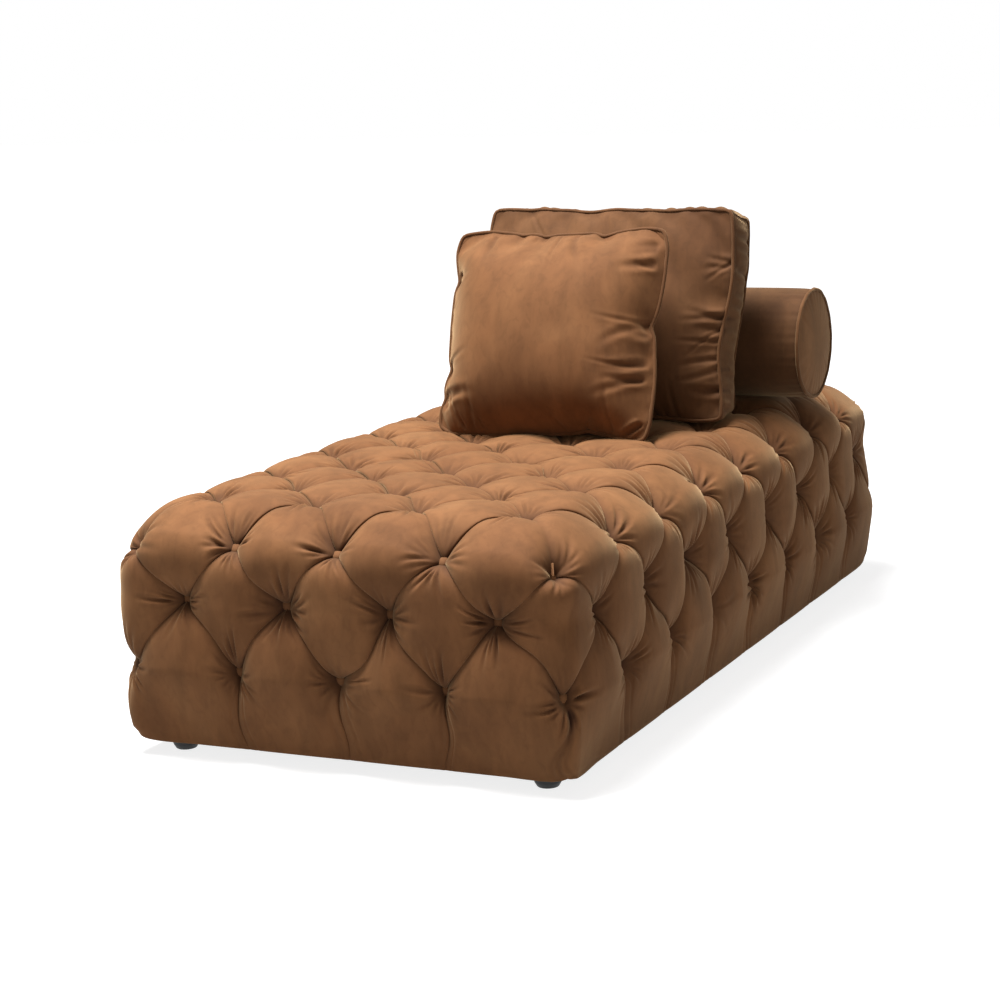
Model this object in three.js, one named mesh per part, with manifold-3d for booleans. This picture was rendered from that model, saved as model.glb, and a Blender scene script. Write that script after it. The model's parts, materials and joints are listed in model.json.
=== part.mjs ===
// A button-tufted fainting couch with a throw cushion, a box cushion and a bolster.
// Millimetres, +Z up. X runs across the couch and Y along it, with the free end towards -Y.
// The origin lies on the floor under the middle of the couch.
import * as THREE from 'three';
import { mergeVertices } from 'three/addons/utils/BufferGeometryUtils.js';
import Module from 'manifold-3d';

const wasm = await Module();
wasm.setup();

// Driving dimensions of the tufting: buttons stand on a lattice of diamonds.
const acrossPitch = 210;
const alongPitch = 219.3;
const pitchesAcross = 4;
const pitchesAlong = 8;
const stepsPerPitch = 4;

// Heights above the floor of the hem, of the three rows of side buttons and of the top buttons.
const hemHeight = 27;
const lowRowHeight = 176;
const middleRowHeight = 304.5;
const highRowHeight = 404.5;
const cornerButtonDrop = 17;
const topButtonHeight = 453;

// How far the cover stands out from the lattice rectangle at the side rows and at the hem.
const highRowOut = 6;
const middleRowOut = 14;
const lowRowOut = 19;
const hemOut = 18;
const cornerButtonDrawIn = 15;
const cornerRounding = 4;

// Heights of the puffs above their buttons, and the button itself.
const topPuff = 36;
const pressedPuff = 22;
const edgePuff = 46;
const sidePuff = 23;
const buttonRadius = 11;
const buttonHeight = 7;
const edgeSag = 7;

// The stretch of the seat whose puffs the loose pieces press down.
const pressedFrom = -150;
const pressedTo = 330;

// The depth of a loose piece that is looked at where it meets the seat, and the parts of each edge there.
const settleDepth = 30;
const edgeParts = 6;
const settleAllowance = 0.2;

// Shares of a puff's height along a diamond, and of a pleat's height down to the hem.
const foldShare = 0.4;
const flankShare = 0.8;
const pleatFadeShares = [0.8, 0.5, 0.15];
const pleatLineShare = 0.12;

// Rows of points half way between two rows of buttons: shares of the way from the upper row to the lower.
const halfWayShare = 0.5;
const shoulderOutShare = 0.7;
const shoulderPuffShare = 0.6;
const shoulderRiseShare = 0.35;

// Clearance between neighbours, and how far a cutting block overruns.
const gap = 0.3;
const overrun = 60;

// Corners closer together than this are one corner.
const weldDistance = 0.0001;

// Padding and boards.
const padBehindLattice = 8;
const topPadDepth = 44;
const sidePanelCutShift = 25;
const foamDepth = 60;
const deckThickness = 12;
const sideBoardThickness = 9;
const dustCoverThickness = 1.2;

// Timber frame.
const postSide = 48;
const railThickness = 30;
const lowerRailHeight = 70;
const upperRailHeight = 60;
const slatWidth = 60;
const slatThickness = 28;
const slatCount = 3;

// Feet, each held by a screw from below.
const footRadius = 25;
const footBaseRadius = 20;
const footChamfer = 7;
const footInsetAcross = 46;
const footInsetAlong = 38;
const footSegments = 24;
const screwSegments = 12;
const screwRadius = 2.5;
const screwHeadRadius = 5;
const screwHeadHeight = 3.5;
const screwLength = 40;
const screwHeadRecess = 8;
const dustCoverClearance = 2;

// Cloth, cord and zips of the loose pieces.
const clothThickness = 3;
const pipingRadius = 4;
const pipingSides = 5;
const pipingReach = pipingRadius * Math.cos(Math.PI / pipingSides);
const zipWidth = 8;
const zipThickness = 1.6;
const sliderLength = 9;
const sliderHeight = 2.2;
const sliderWidth = 6;
const pullLength = 14;
const pullHeight = 1;

// Throw cushion: two crowned panels that meet in a piped knife edge.
const throwWidth = 482;
const throwHeight = 428;
const throwCrown = 104;
const throwDrawIn = 12;
const throwCornerPull = 9;
const throwSteps = 8;
const throwAcross = 30;
const throwLeanDegrees = 20;
const throwTurnDegrees = -3;
const throwRollDegrees = -1.2;
const throwZipLength = 300;
const throwZipBehindSeam = 12;

// Box cushion: two crowned panels joined by a band, with piping along both seams.
const boxWidth = 578;
const boxHeight = 438;
const boxDepth = 105;
const boxCrown = 42;
const boxDrawIn = 7;
const boxCornerPull = 12;
const boxBackRise = 22;
const boxBackNarrowing = 10;
const boxSteps = 8;
const boxAcross = 83;
const boxAlong = 125;
const boxLeanDegrees = 13;
const boxZipLength = 420;

// How closely the pull of a panel's corners keeps to them.
const cornerPullExponent = 6;

// Bolster: a round pillow with its axis across the couch.
const bolsterRadius = 118;
const bolsterLength = 760;
const bolsterAcross = 78;
const bolsterEndCrown = 10;
const bolsterSegments = 24;
const bolsterZipLength = 600;
const bolsterZipFacetCount = 2;

// Worked out from the above.
const halfAcross = (acrossPitch * pitchesAcross) / 2;
const halfAlong = (alongPitch * pitchesAlong) / 2;
const cavityAcross = halfAcross - padBehindLattice;
const cavityAlong = halfAlong - padBehindLattice;
const cavityTop = topButtonHeight - topPadDepth;
const frameAcross = cavityAcross - sideBoardThickness - 2 * gap;
const frameAlong = cavityAlong - sideBoardThickness - 2 * gap;
const dustCoverBottom = hemHeight + gap;
const frameBottom = dustCoverBottom + dustCoverThickness + gap;
const deckTop = cavityTop - foamDepth - 2 * gap;
const deckBottom = deckTop - deckThickness;
const frameTop = deckBottom - gap;
const footTop = frameBottom - gap;

const velvet = new THREE.MeshStandardMaterial({ color: 0x9a683f, roughness: 0.85, metalness: 0 });
const pipingVelvet = new THREE.MeshStandardMaterial({ color: 0x6f452a, roughness: 0.85, metalness: 0 });
const timber = new THREE.MeshStandardMaterial({ color: 0xc9a66b, roughness: 0.7, metalness: 0 });
const plywood = new THREE.MeshStandardMaterial({ color: 0xd8bd8a, roughness: 0.7, metalness: 0 });
const foam = new THREE.MeshStandardMaterial({ color: 0xe9e1c8, roughness: 0.95, metalness: 0 });
const fibre = new THREE.MeshStandardMaterial({ color: 0xf1efe9, roughness: 0.95, metalness: 0 });
const lining = new THREE.MeshStandardMaterial({ color: 0x222222, roughness: 0.95, metalness: 0 });
const plastic = new THREE.MeshStandardMaterial({ color: 0x14161a, roughness: 0.45, metalness: 0 });
const steel = new THREE.MeshStandardMaterial({ color: 0xb8b8b4, roughness: 0.35, metalness: 0.9 });
const zipTape = new THREE.MeshStandardMaterial({ color: 0x5a3a24, roughness: 0.9, metalness: 0 });
const zipMetal = new THREE.MeshStandardMaterial({ color: 0x7a6a4c, roughness: 0.4, metalness: 0.8 });

const couch = new THREE.Group();

// Adds one named piece to a group.
function addPiece(group, name, geometry, material) {
  const mesh = new THREE.Mesh(geometry, material);
  mesh.name = name;
  group.add(mesh);
  return mesh;
}

// A geometry as a solid, with its shared corners merged.
function toSolid(geometry) {
  const bare = geometry.clone();
  bare.deleteAttribute('normal');
  bare.deleteAttribute('uv');
  const merged = mergeVertices(bare, weldDistance);
  return new wasm.Manifold(new wasm.Mesh({
    numProp: 3,
    vertProperties: new Float32Array(merged.attributes.position.array),
    triVerts: new Uint32Array(merged.index.array),
  }));
}

// A solid as a geometry.
function toGeometry(solid) {
  const mesh = solid.getMesh();
  const geometry = new THREE.BufferGeometry();
  geometry.setAttribute('position', new THREE.BufferAttribute(new Float32Array(mesh.vertProperties), 3));
  geometry.setIndex(new THREE.BufferAttribute(new Uint32Array(mesh.triVerts), 1));
  return geometry;
}

// A geometry with every given hollow cut out of it.
function cut(geometry, hollows) {
  const solid = hollows.reduce((rest, hollow) => rest.subtract(toSolid(hollow)), toSolid(geometry));
  return toGeometry(solid);
}

// A block between two corners.
function block(x0, y0, z0, x1, y1, z1) {
  const geometry = new THREE.BoxGeometry(x1 - x0, y1 - y0, z1 - z0);
  geometry.translate((x0 + x1) / 2, (y0 + y1) / 2, (z0 + z1) / 2);
  return geometry;
}

// An upright prism over a plan outline.
function prism(points, z0, z1) {
  const shape = new THREE.Shape(points.map(([x, y]) => new THREE.Vector2(x, y)));
  const geometry = new THREE.ExtrudeGeometry(shape, { depth: z1 - z0, bevelEnabled: false });
  geometry.translate(0, 0, z0);
  return geometry;
}

// An upright turned solid from (radius, height) pairs that start and end on the axis.
function turned(profile, segments) {
  const points = profile.map(([radius, height]) => new THREE.Vector2(radius, height));
  return new THREE.LatheGeometry(points, segments).rotateX(Math.PI / 2);
}

// Triangles collected corner by corner into one closed geometry.
class Skin {
  constructor() {
    this.corners = [];
  }

  triangle(a, b, c) {
    for (const corner of [a, b, c]) this.corners.push(corner.x, corner.y, corner.z);
  }

  quad(a, b, c, d) {
    this.triangle(a, b, c);
    this.triangle(a, c, d);
  }

  // The finished geometry, turned inside out if its faces point inwards.
  geometry() {
    const soup = new THREE.BufferGeometry();
    soup.setAttribute('position', new THREE.BufferAttribute(new Float32Array(this.corners), 3));
    const merged = mergeVertices(soup, weldDistance);
    if (enclosedVolume(merged) < 0) merged.index.array.reverse();
    return merged;
  }
}

// The volume that a closed geometry encloses, negative where its faces point inwards.
function enclosedVolume(geometry) {
  const place = geometry.attributes.position;
  const index = geometry.index.array;
  const [a, b, c] = [new THREE.Vector3(), new THREE.Vector3(), new THREE.Vector3()];
  let sum = 0;
  for (let i = 0; i < index.length; i += 3) {
    a.fromBufferAttribute(place, index[i]);
    b.fromBufferAttribute(place, index[i + 1]);
    c.fromBufferAttribute(place, index[i + 2]);
    sum += a.dot(b.cross(c)) / 6;
  }
  return sum;
}

// Tufted upholstery: a closed block whose top and sides follow the button lattice.

const stepsAcross = pitchesAcross * stepsPerPitch;
const stepsAlong = pitchesAlong * stepsPerPitch;
const stepsRound = 2 * (stepsAcross + stepsAlong);
const half = stepsPerPitch / 2;

// The rows of points down a side, from the high buttons at the rounded edge to the hem.
function sideRows() {
  const between = (a, b, share) => a + (b - a) * share;
  const rows = [
    { height: highRowHeight, out: highRowOut, puff: edgePuff, riseShare: 1 },
    {
      height: between(highRowHeight, middleRowHeight, halfWayShare),
      out: between(highRowOut, middleRowOut, shoulderOutShare),
      puff: between(edgePuff, sidePuff, shoulderPuffShare),
      riseShare: shoulderRiseShare,
    },
    { height: middleRowHeight, out: middleRowOut, puff: sidePuff, riseShare: 0 },
    {
      height: between(middleRowHeight, lowRowHeight, halfWayShare),
      out: between(middleRowOut, lowRowOut, halfWayShare),
      puff: sidePuff,
      riseShare: 0,
    },
    { height: lowRowHeight, out: lowRowOut, puff: sidePuff, riseShare: 0 },
  ];
  pleatFadeShares.forEach((fade, i) => {
    const share = (i + 1) / pleatFadeShares.length;
    rows.push({
      height: between(lowRowHeight, hemHeight, share),
      out: between(lowRowOut, hemOut, share),
      puff: sidePuff * fade,
      riseShare: 0,
    });
  });
  return rows;
}

const rows = sideRows();
const lowButtonRow = rows.length - 1 - pleatFadeShares.length;

// How high a lattice point stands between a button, at 0, and the crown of a diamond, at 1.
function puffShare(i, j) {
  const evenI = i % half === 0;
  const evenJ = j % half === 0;
  if (evenI && evenJ) return (i + j) % stepsPerPitch === 0 ? 0 : 1;
  return evenI || evenJ ? flankShare : foldShare;
}

// The same below the low buttons, where upright pleats run down to the hem.
function pleatShare(i) {
  if (i % stepsPerPitch === 0) return pleatLineShare;
  return i % half === 0 ? 1 : flankShare;
}

// Plan place and outward direction of a step round the lattice rectangle, from the front left corner.
function roundPlace(step) {
  const k = (step + stepsRound) % stepsRound;
  const stepX = acrossPitch / stepsPerPitch;
  const stepY = alongPitch / stepsPerPitch;
  const right = k - stepsAcross;
  const back = right - stepsAlong;
  const left = back - stepsAcross;
  let place;
  if (k < stepsAcross) place = { x: -halfAcross + k * stepX, y: -halfAlong, outX: 0, outY: -1 };
  else if (right < stepsAlong) place = { x: halfAcross, y: -halfAlong + right * stepY, outX: 1, outY: 0 };
  else if (back < stepsAcross) place = { x: halfAcross - back * stepX, y: halfAlong, outX: 0, outY: 1 };
  else place = { x: -halfAcross, y: halfAlong - left * stepY, outX: -1, outY: 0 };
  place.corner = [0, stepsAcross, stepsAcross + stepsAlong, stepsRound - stepsAlong].includes(k);
  if (place.corner) {
    place.outX = Math.sign(place.x);
    place.outY = Math.sign(place.y);
  }
  return place;
}

// A point of the side, with the direction that its puff or button faces.
function sidePoint(step, row) {
  const { height, out, puff, riseShare } = rows[row];
  const place = roundPlace(step);
  const share = row <= lowButtonRow ? puffShare(step, row) : pleatShare(step);
  const facing = new THREE.Vector3(place.outX, place.outY, riseShare).normalize();
  const button = row <= lowButtonRow && share === 0;
  const drawIn = button ? cornerButtonDrawIn : cornerRounding;
  const reach = out - (place.corner ? drawIn : 0) + (place.corner ? puff * share : 0);
  const drop = place.corner && row === 0 ? cornerButtonDrop : 0;
  const point = new THREE.Vector3(place.x + place.outX * reach, place.y + place.outY * reach, height - drop);
  if (!place.corner) point.addScaledVector(facing, puff * share);
  if (row === rows.length - 1) point.z = hemHeight;
  return { point, facing, button };
}

// A point of the top; its outermost points are the high row of the side.
function topPoint(i, j) {
  if (j === 0) return sidePoint(i, 0);
  if (i === stepsAcross) return sidePoint(stepsAcross + j, 0);
  if (j === stepsAlong) return sidePoint(stepsAcross + stepsAlong + (stepsAcross - i), 0);
  if (i === 0) return sidePoint(stepsRound - j, 0);
  const nearEdge = i === 1 || j === 1 || i === stepsAcross - 1 || j === stepsAlong - 1;
  const share = puffShare(i, j);
  const x = -halfAcross + (i * acrossPitch) / stepsPerPitch;
  const y = -halfAlong + (j * alongPitch) / stepsPerPitch;
  const puff = y > pressedFrom && y < pressedTo ? pressedPuff : topPuff;
  const height = topButtonHeight - (nearEdge ? edgeSag : 0) + puff * share;
  return { point: new THREE.Vector3(x, y, height), facing: new THREE.Vector3(0, 0, 1), button: share === 0 };
}

// One triangle of the cover; at a button its tip is exchanged for a low domed button.
function coverTriangle(skin, a, b, c) {
  const corners = [a, b, c];
  const at = corners.findIndex((corner) => corner.button);
  if (at < 0) {
    skin.triangle(a.point, b.point, c.point);
    return;
  }
  const [button, first, second] = [...corners.slice(at), ...corners.slice(0, at)];
  const foot = (other) => {
    const away = other.point.clone().sub(button.point).projectOnPlane(button.facing);
    return button.point.clone().addScaledVector(away.normalize(), buttonRadius);
  };
  const [footFirst, footSecond] = [foot(first), foot(second)];
  const crown = button.point.clone().addScaledVector(button.facing, buttonHeight);
  skin.quad(footFirst, first.point, second.point, footSecond);
  skin.triangle(crown, footFirst, footSecond);
}

// One cell of the cover, split along its fold if a button is at a corner, and across it if not.
function coverCell(skin, a, b, c, d) {
  const alongFirst = a.button || c.button;
  const alongSecond = b.button || d.button;
  const crownOnFirst = a.crown || c.crown;
  if (alongFirst || (!alongSecond && !crownOnFirst)) {
    coverTriangle(skin, a, b, c);
    coverTriangle(skin, a, c, d);
  } else {
    coverTriangle(skin, b, c, d);
    coverTriangle(skin, b, d, a);
  }
}

// The whole tufted block, closed at the hem.
function tuftedBlock() {
  const skin = new Skin();
  const mark = (found, share) => ({ ...found, crown: share === 1 });
  const top = (i, j) => mark(topPoint(i, j), puffShare(i, j));
  const side = (k, row) => mark(sidePoint(k, row), row <= lowButtonRow ? puffShare(k, row) : 0);
  for (let i = 0; i < stepsAcross; i += 1) {
    for (let j = 0; j < stepsAlong; j += 1) {
      coverCell(skin, top(i, j), top(i + 1, j), top(i + 1, j + 1), top(i, j + 1));
    }
  }
  const middle = new THREE.Vector3(0, 0, hemHeight);
  for (let k = 0; k < stepsRound; k += 1) {
    for (let row = 0; row < rows.length - 1; row += 1) {
      coverCell(skin, side(k, row + 1), side(k + 1, row + 1), side(k + 1, row), side(k, row));
    }
    skin.triangle(side(k + 1, rows.length - 1).point, side(k, rows.length - 1).point, middle);
  }
  return skin.geometry();
}

// A block that widens upwards from the cavity's top edge, and parts the top from the sides.
function topSector(lift) {
  const rise = topPuff + topPadDepth + overrun;
  const geometry = new THREE.BoxGeometry(2 * cavityAcross, 2 * cavityAlong, rise);
  const place = geometry.attributes.position;
  for (let i = 0; i < place.count; i += 1) {
    if (place.getZ(i) > 0) {
      place.setX(i, place.getX(i) + Math.sign(place.getX(i)) * rise);
      place.setY(i, place.getY(i) + Math.sign(place.getY(i)) * rise);
    }
  }
  geometry.translate(0, 0, cavityTop + rise / 2 + lift);
  return geometry;
}

// Plan sector of one end or one side, from the middle out, with slanting cuts beside the corners.
function planSector(isEnd, sign) {
  const reach = padBehindLattice + sidePuff + edgePuff + overrun;
  const cutY = cavityAlong - sidePanelCutShift;
  const points = isEnd
    ? [[-cavityAcross, cutY], [cavityAcross, cutY],
      [cavityAcross + reach, cutY + reach], [-cavityAcross - reach, cutY + reach]]
    : [[cavityAcross, -cutY + gap], [cavityAcross, cutY - gap],
      [cavityAcross + reach, cutY + reach - gap], [cavityAcross + reach, -cutY - reach + gap]];
  const placed = points.map(([x, y]) => (isEnd ? [x, y * sign] : [x * sign, y]));
  return prism(placed, 0, topButtonHeight + topPuff + overrun);
}

function addUpholstery() {
  const whole = toSolid(tuftedBlock());
  const cavity = toSolid(block(-cavityAcross, -cavityAlong, -overrun, cavityAcross, cavityAlong, cavityTop));
  const cover = whole.subtract(cavity);
  const top = cover.intersect(toSolid(topSector(gap)));
  const sides = cover.subtract(toSolid(topSector(-gap)));
  addPiece(couch, 'tufted_top', toGeometry(top), velvet);
  addPiece(couch, 'tufted_front_end', toGeometry(sides.intersect(toSolid(planSector(true, -1)))), velvet);
  addPiece(couch, 'tufted_back_end', toGeometry(sides.intersect(toSolid(planSector(true, 1)))), velvet);
  addPiece(couch, 'tufted_left_side', toGeometry(sides.intersect(toSolid(planSector(false, -1)))), velvet);
  addPiece(couch, 'tufted_right_side', toGeometry(sides.intersect(toSolid(planSector(false, 1)))), velvet);
}

// Timber frame: posts, rails, slats, boards, deck and foam.

const corners = [
  ['front_left', -1, -1],
  ['front_right', 1, -1],
  ['back_left', -1, 1],
  ['back_right', 1, 1],
];
const footX = halfAcross - footInsetAcross;
const footY = halfAlong - footInsetAlong;

// A block given for the positive corner or side and mirrored by the signs.
function mirroredBlock(signX, signY, x0, y0, z0, x1, y1, z1) {
  const xs = [signX * x0, signX * x1].sort((a, b) => a - b);
  const ys = [signY * y0, signY * y1].sort((a, b) => a - b);
  return block(xs[0], ys[0], z0, xs[1], ys[1], z1);
}

function addPosts() {
  for (const [name, signX, signY] of corners) {
    const post = mirroredBlock(signX, signY, frameAcross - postSide, frameAlong - postSide, frameBottom,
      frameAcross, frameAlong, frameTop);
    const hole = turned([[0, 0], [screwRadius + gap, 0], [screwRadius + gap, screwLength + gap],
      [0, screwLength + gap]], screwSegments);
    hole.translate(signX * footX, signY * footY, screwHeadRecess);
    addPiece(couch, `corner_post_${name}`, cut(post, [hole]), timber);
  }
}

function addRails() {
  const endX = frameAcross - postSide - gap;
  const endY = frameAlong - postSide - gap;
  const tiers = [
    ['lower', frameBottom, frameBottom + lowerRailHeight],
    ['upper', frameTop - upperRailHeight, frameTop],
  ];
  for (const [tier, z0, z1] of tiers) {
    for (const [side, sign] of [['left', -1], ['right', 1]]) {
      const rail = mirroredBlock(sign, 1, frameAcross - railThickness, -endY, z0, frameAcross, endY, z1);
      addPiece(couch, `${tier}_rail_${side}`, rail, timber);
    }
    for (const [side, sign] of [['front', -1], ['back', 1]]) {
      const rail = mirroredBlock(1, sign, -endX, frameAlong - railThickness, z0, endX, frameAlong, z1);
      addPiece(couch, `${tier}_rail_${side}`, rail, timber);
    }
  }
}

function addSlats() {
  const endX = frameAcross - railThickness - gap;
  const spacing = (2 * frameAlong) / (slatCount + 1);
  for (let i = 1; i <= slatCount; i += 1) {
    const y = -frameAlong + i * spacing;
    const slat = block(-endX, y - slatWidth / 2, frameTop - slatThickness, endX, y + slatWidth / 2, frameTop);
    addPiece(couch, `deck_slat_${i}`, slat, timber);
  }
}

function addBoards() {
  const outerX = cavityAcross - gap;
  const outerY = cavityAlong - gap;
  const innerX = outerX - sideBoardThickness;
  const innerY = outerY - sideBoardThickness;
  for (const [side, sign] of [['left', -1], ['right', 1]]) {
    const board = mirroredBlock(sign, 1, innerX, -outerY, frameBottom, outerX, outerY, deckTop);
    addPiece(couch, `side_board_${side}`, board, plywood);
  }
  for (const [side, sign] of [['front', -1], ['back', 1]]) {
    const board = mirroredBlock(1, sign, -innerX + gap, innerY, frameBottom, innerX - gap, outerY, deckTop);
    addPiece(couch, `end_board_${side}`, board, plywood);
  }
  const deck = block(-frameAcross, -frameAlong, deckBottom, frameAcross, frameAlong, deckTop);
  addPiece(couch, 'deck_board', deck, plywood);
  const cushion = block(-outerX, -outerY, deckTop + gap, outerX, outerY, cavityTop - gap);
  addPiece(couch, 'seat_foam', cushion, foam);
}

function addDustCover() {
  const sheet = block(-cavityAcross, -cavityAlong, dustCoverBottom, cavityAcross, cavityAlong,
    dustCoverBottom + dustCoverThickness);
  const radius = footRadius + dustCoverClearance;
  const holes = corners.map(([, signX, signY]) => {
    const hole = turned([[0, 0], [radius, 0], [radius, frameBottom], [0, frameBottom]], footSegments);
    return hole.translate(signX * footX, signY * footY, 0);
  });
  addPiece(couch, 'dust_cover', cut(sheet, holes), lining);
}

function addFeet() {
  for (const [name, signX, signY] of corners) {
    const foot = turned([[0, 0], [footBaseRadius, 0], [footRadius, footChamfer], [footRadius, footTop],
      [0, footTop]], footSegments);
    const shaftHole = screwRadius + gap;
    const headHole = screwHeadRadius + gap;
    const bore = turned([[0, -overrun], [headHole, -overrun], [headHole, screwHeadRecess],
      [shaftHole, screwHeadRecess], [shaftHole, footTop + overrun], [0, footTop + overrun]], screwSegments);
    const mesh = addPiece(couch, `foot_${name}`, cut(foot, [bore]), plastic);
    mesh.position.set(signX * footX, signY * footY, 0);

    const screw = turned([[0, -screwHeadHeight], [screwHeadRadius, -screwHeadHeight],
      [screwHeadRadius, -gap], [screwRadius, -gap], [screwRadius, screwLength - screwRadius],
      [0, screwLength]], screwSegments);
    const placed = addPiece(couch, `foot_screw_${name}`, screw, steel);
    placed.position.set(signX * footX, signY * footY, screwHeadRecess);
  }
}

// Soft panels: a grid of points between two outlines, crowned in the middle.

// Shares from -1 to 1 that crowd together near the ends.
function gridShares(steps) {
  return Array.from({ length: steps + 1 }, (_, i) => Math.sin((Math.PI / 2) * ((2 * i) / steps - 1)));
}

// The place of a grid point in a panel whose sides are drawn in between pulled-in corners.
function panelPlace(size, u, v) {
  const sideDraw = size.drawIn * (1 - v * v);
  const endDraw = v > 0 ? size.drawIn * (1 - u * u) : 0;
  const pull = size.cornerPull * Math.abs(u * v) ** cornerPullExponent;
  const x = Math.sign(u) * (Math.abs(u) * (size.width / 2 - sideDraw) - (u === 0 ? 0 : pull));
  const z = Math.sign(v) * (Math.abs(v) * (size.height / 2 - endDraw) - (v === 0 ? 0 : pull));
  const { narrowing = 0, rise = 0 } = size;
  return {
    x: x * ((size.width - narrowing) / size.width),
    z: rise + (z / size.height + 1 / 2) * (size.height - rise),
  };
}

// How far the crown stands out at a grid point, as a share of its middle.
function crownShare(u, v) {
  return Math.sqrt((1 - u * u) * (1 - v * v));
}

// A closed skin between two layers of grid points, given as functions of the grid's shares.
function layered(shares, outer, inner) {
  const skin = new Skin();
  const last = shares.length - 1;
  const at = (layer, i, j) => layer(shares[i], shares[j]);
  for (let i = 0; i < last; i += 1) {
    for (let j = 0; j < last; j += 1) {
      const flip = (i < last / 2) === (j < last / 2);
      for (const layer of [outer, inner]) {
        const ring = [at(layer, i, j), at(layer, i + 1, j), at(layer, i + 1, j + 1), at(layer, i, j + 1)];
        const turnedRing = flip ? ring : [ring[1], ring[2], ring[3], ring[0]];
        if (layer === outer) skin.quad(...turnedRing);
        else skin.quad(...[turnedRing[2], turnedRing[1], turnedRing[0], turnedRing[3]]);
      }
    }
  }
  for (let i = 0; i < last; i += 1) {
    skin.quad(at(outer, i + 1, 0), at(outer, i, 0), at(inner, i, 0), at(inner, i + 1, 0));
    skin.quad(at(outer, i, last), at(outer, i + 1, last), at(inner, i + 1, last), at(inner, i, last));
    skin.quad(at(outer, 0, i), at(outer, 0, i + 1), at(inner, 0, i + 1), at(inner, 0, i));
    skin.quad(at(outer, last, i + 1), at(outer, last, i), at(inner, last, i), at(inner, last, i + 1));
  }
  return skin.geometry();
}

// A crowned cloth panel on the side of the given sign, its rim at a distance from the middle plane.
function crownedPanel(size, shares, sign, rim, crown) {
  const layer = (depth) => (u, v) => {
    const { x, z } = panelPlace(size, u, v);
    return new THREE.Vector3(x, sign * (rim + depth + crown * crownShare(u, v)), z);
  };
  return layered(shares, layer(clothThickness), layer(0));
}

// The outline of a panel as a closed loop of points, moved out from its middle by a distance.
function outlineLoop(size, shares, outward, y) {
  const ends = shares.slice(0, -1);
  const sides = [
    ends.map((share) => [share, -1]),
    ends.map((share) => [1, share]),
    ends.map((share) => [-share, 1]),
    ends.map((share) => [-1, -share]),
  ];
  return sides.flat().map(([u, v]) => {
    const { x, z } = panelPlace(size, u, v);
    const moveX = Math.abs(u) === 1 ? Math.sign(u) * outward : 0;
    const moveZ = Math.abs(v) === 1 ? Math.sign(v) * outward : 0;
    return new THREE.Vector3(x + moveX, y, z + moveZ);
  });
}

// A cord along a closed loop that lies in a plane across Y.
function pipingRing(loop) {
  const skin = new Skin();
  const count = loop.length;
  const normal = new THREE.Vector3(0, 1, 0);
  const rings = loop.map((point, i) => {
    const ahead = loop[(i + 1) % count].clone().sub(point).normalize();
    const behind = point.clone().sub(loop[(i + count - 1) % count]).normalize();
    const tangent = ahead.clone().add(behind).normalize();
    const spread = 1 / Math.max(ahead.dot(tangent), Math.SQRT1_2);
    const across = new THREE.Vector3().crossVectors(tangent, normal).normalize();
    return Array.from({ length: pipingSides }, (_, side) => {
      const angle = (2 * Math.PI * side) / pipingSides;
      return point.clone()
        .addScaledVector(across, spread * pipingRadius * Math.cos(angle))
        .addScaledVector(normal, pipingRadius * Math.sin(angle));
    });
  });
  for (let i = 0; i < count; i += 1) {
    const next = rings[(i + 1) % count];
    for (let side = 0; side < pipingSides; side += 1) {
      const other = (side + 1) % pipingSides;
      skin.quad(rings[i][side], next[side], next[other], rings[i][other]);
    }
  }
  return skin.geometry();
}

// Zips: a tape in a slot of the cover, and a slider on its outer face. Z points out of the cover.

function zipSlot(length) {
  const room = zipWidth / 2 + gap;
  return block(-length / 2 - gap, -room, -2 * clothThickness - zipThickness, length / 2 + gap, room,
    2 * clothThickness);
}

function addZip(group, name, length, place) {
  const tape = block(-length / 2, -zipWidth / 2, -zipThickness, length / 2, zipWidth / 2, 0);
  const outline = new THREE.Shape([
    [0, gap], [sliderLength + pullLength, gap], [sliderLength + pullLength, gap + pullHeight],
    [sliderLength, gap + pullHeight], [sliderLength, gap + sliderHeight], [0, gap + sliderHeight],
  ].map(([x, z]) => new THREE.Vector2(x, z)));
  const slider = new THREE.ExtrudeGeometry(outline, { depth: sliderWidth, bevelEnabled: false });
  slider.rotateX(Math.PI / 2);
  slider.translate(-length / 2 + sliderLength, sliderWidth / 2, 0);
  addPiece(group, `${name}_zip_tape`, tape.applyMatrix4(place), zipTape);
  addPiece(group, `${name}_zip_slider`, slider.applyMatrix4(place), zipMetal);
}

// The greatest reach of a group's pieces along a direction, or the least where the sign is negative.
function extent(group, direction, sign) {
  group.updateMatrixWorld(true);
  let best = -Infinity;
  const point = new THREE.Vector3();
  group.traverse((item) => {
    if (!item.isMesh) return;
    const place = item.geometry.attributes.position;
    for (let i = 0; i < place.count; i += 1) {
      point.fromBufferAttribute(place, i).applyMatrix4(item.matrixWorld);
      best = Math.max(best, sign * point.dot(direction));
    }
  });
  return sign * best;
}

const up = new THREE.Vector3(0, 0, 1);
const lean = THREE.MathUtils.degToRad(boxLeanDegrees);
const liftNormal = new THREE.Vector3(0, Math.cos(lean), -Math.sin(lean));
const liftDirection = new THREE.Vector3(0, Math.sin(lean), Math.cos(lean));

// Points along every edge of the given pieces, in the couch's frame, that lie inside a region.
function edgePoints(pieces, region) {
  const points = [];
  for (const piece of pieces) {
    const place = piece.geometry.attributes.position;
    const index = piece.geometry.index;
    const count = index ? index.count : place.count;
    const at = (i) => new THREE.Vector3()
      .fromBufferAttribute(place, index ? index.getX(i) : i)
      .applyMatrix4(piece.matrixWorld);
    for (let i = 0; i < count; i += 1) {
      const from = at(i);
      const to = at(i % 3 === 2 ? i - 2 : i + 1);
      for (let part = 0; part < edgeParts; part += 1) {
        const point = from.clone().lerp(to, part / edgeParts);
        if (region.containsPoint(point)) points.push(point);
      }
    }
  }
  return points;
}

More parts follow.
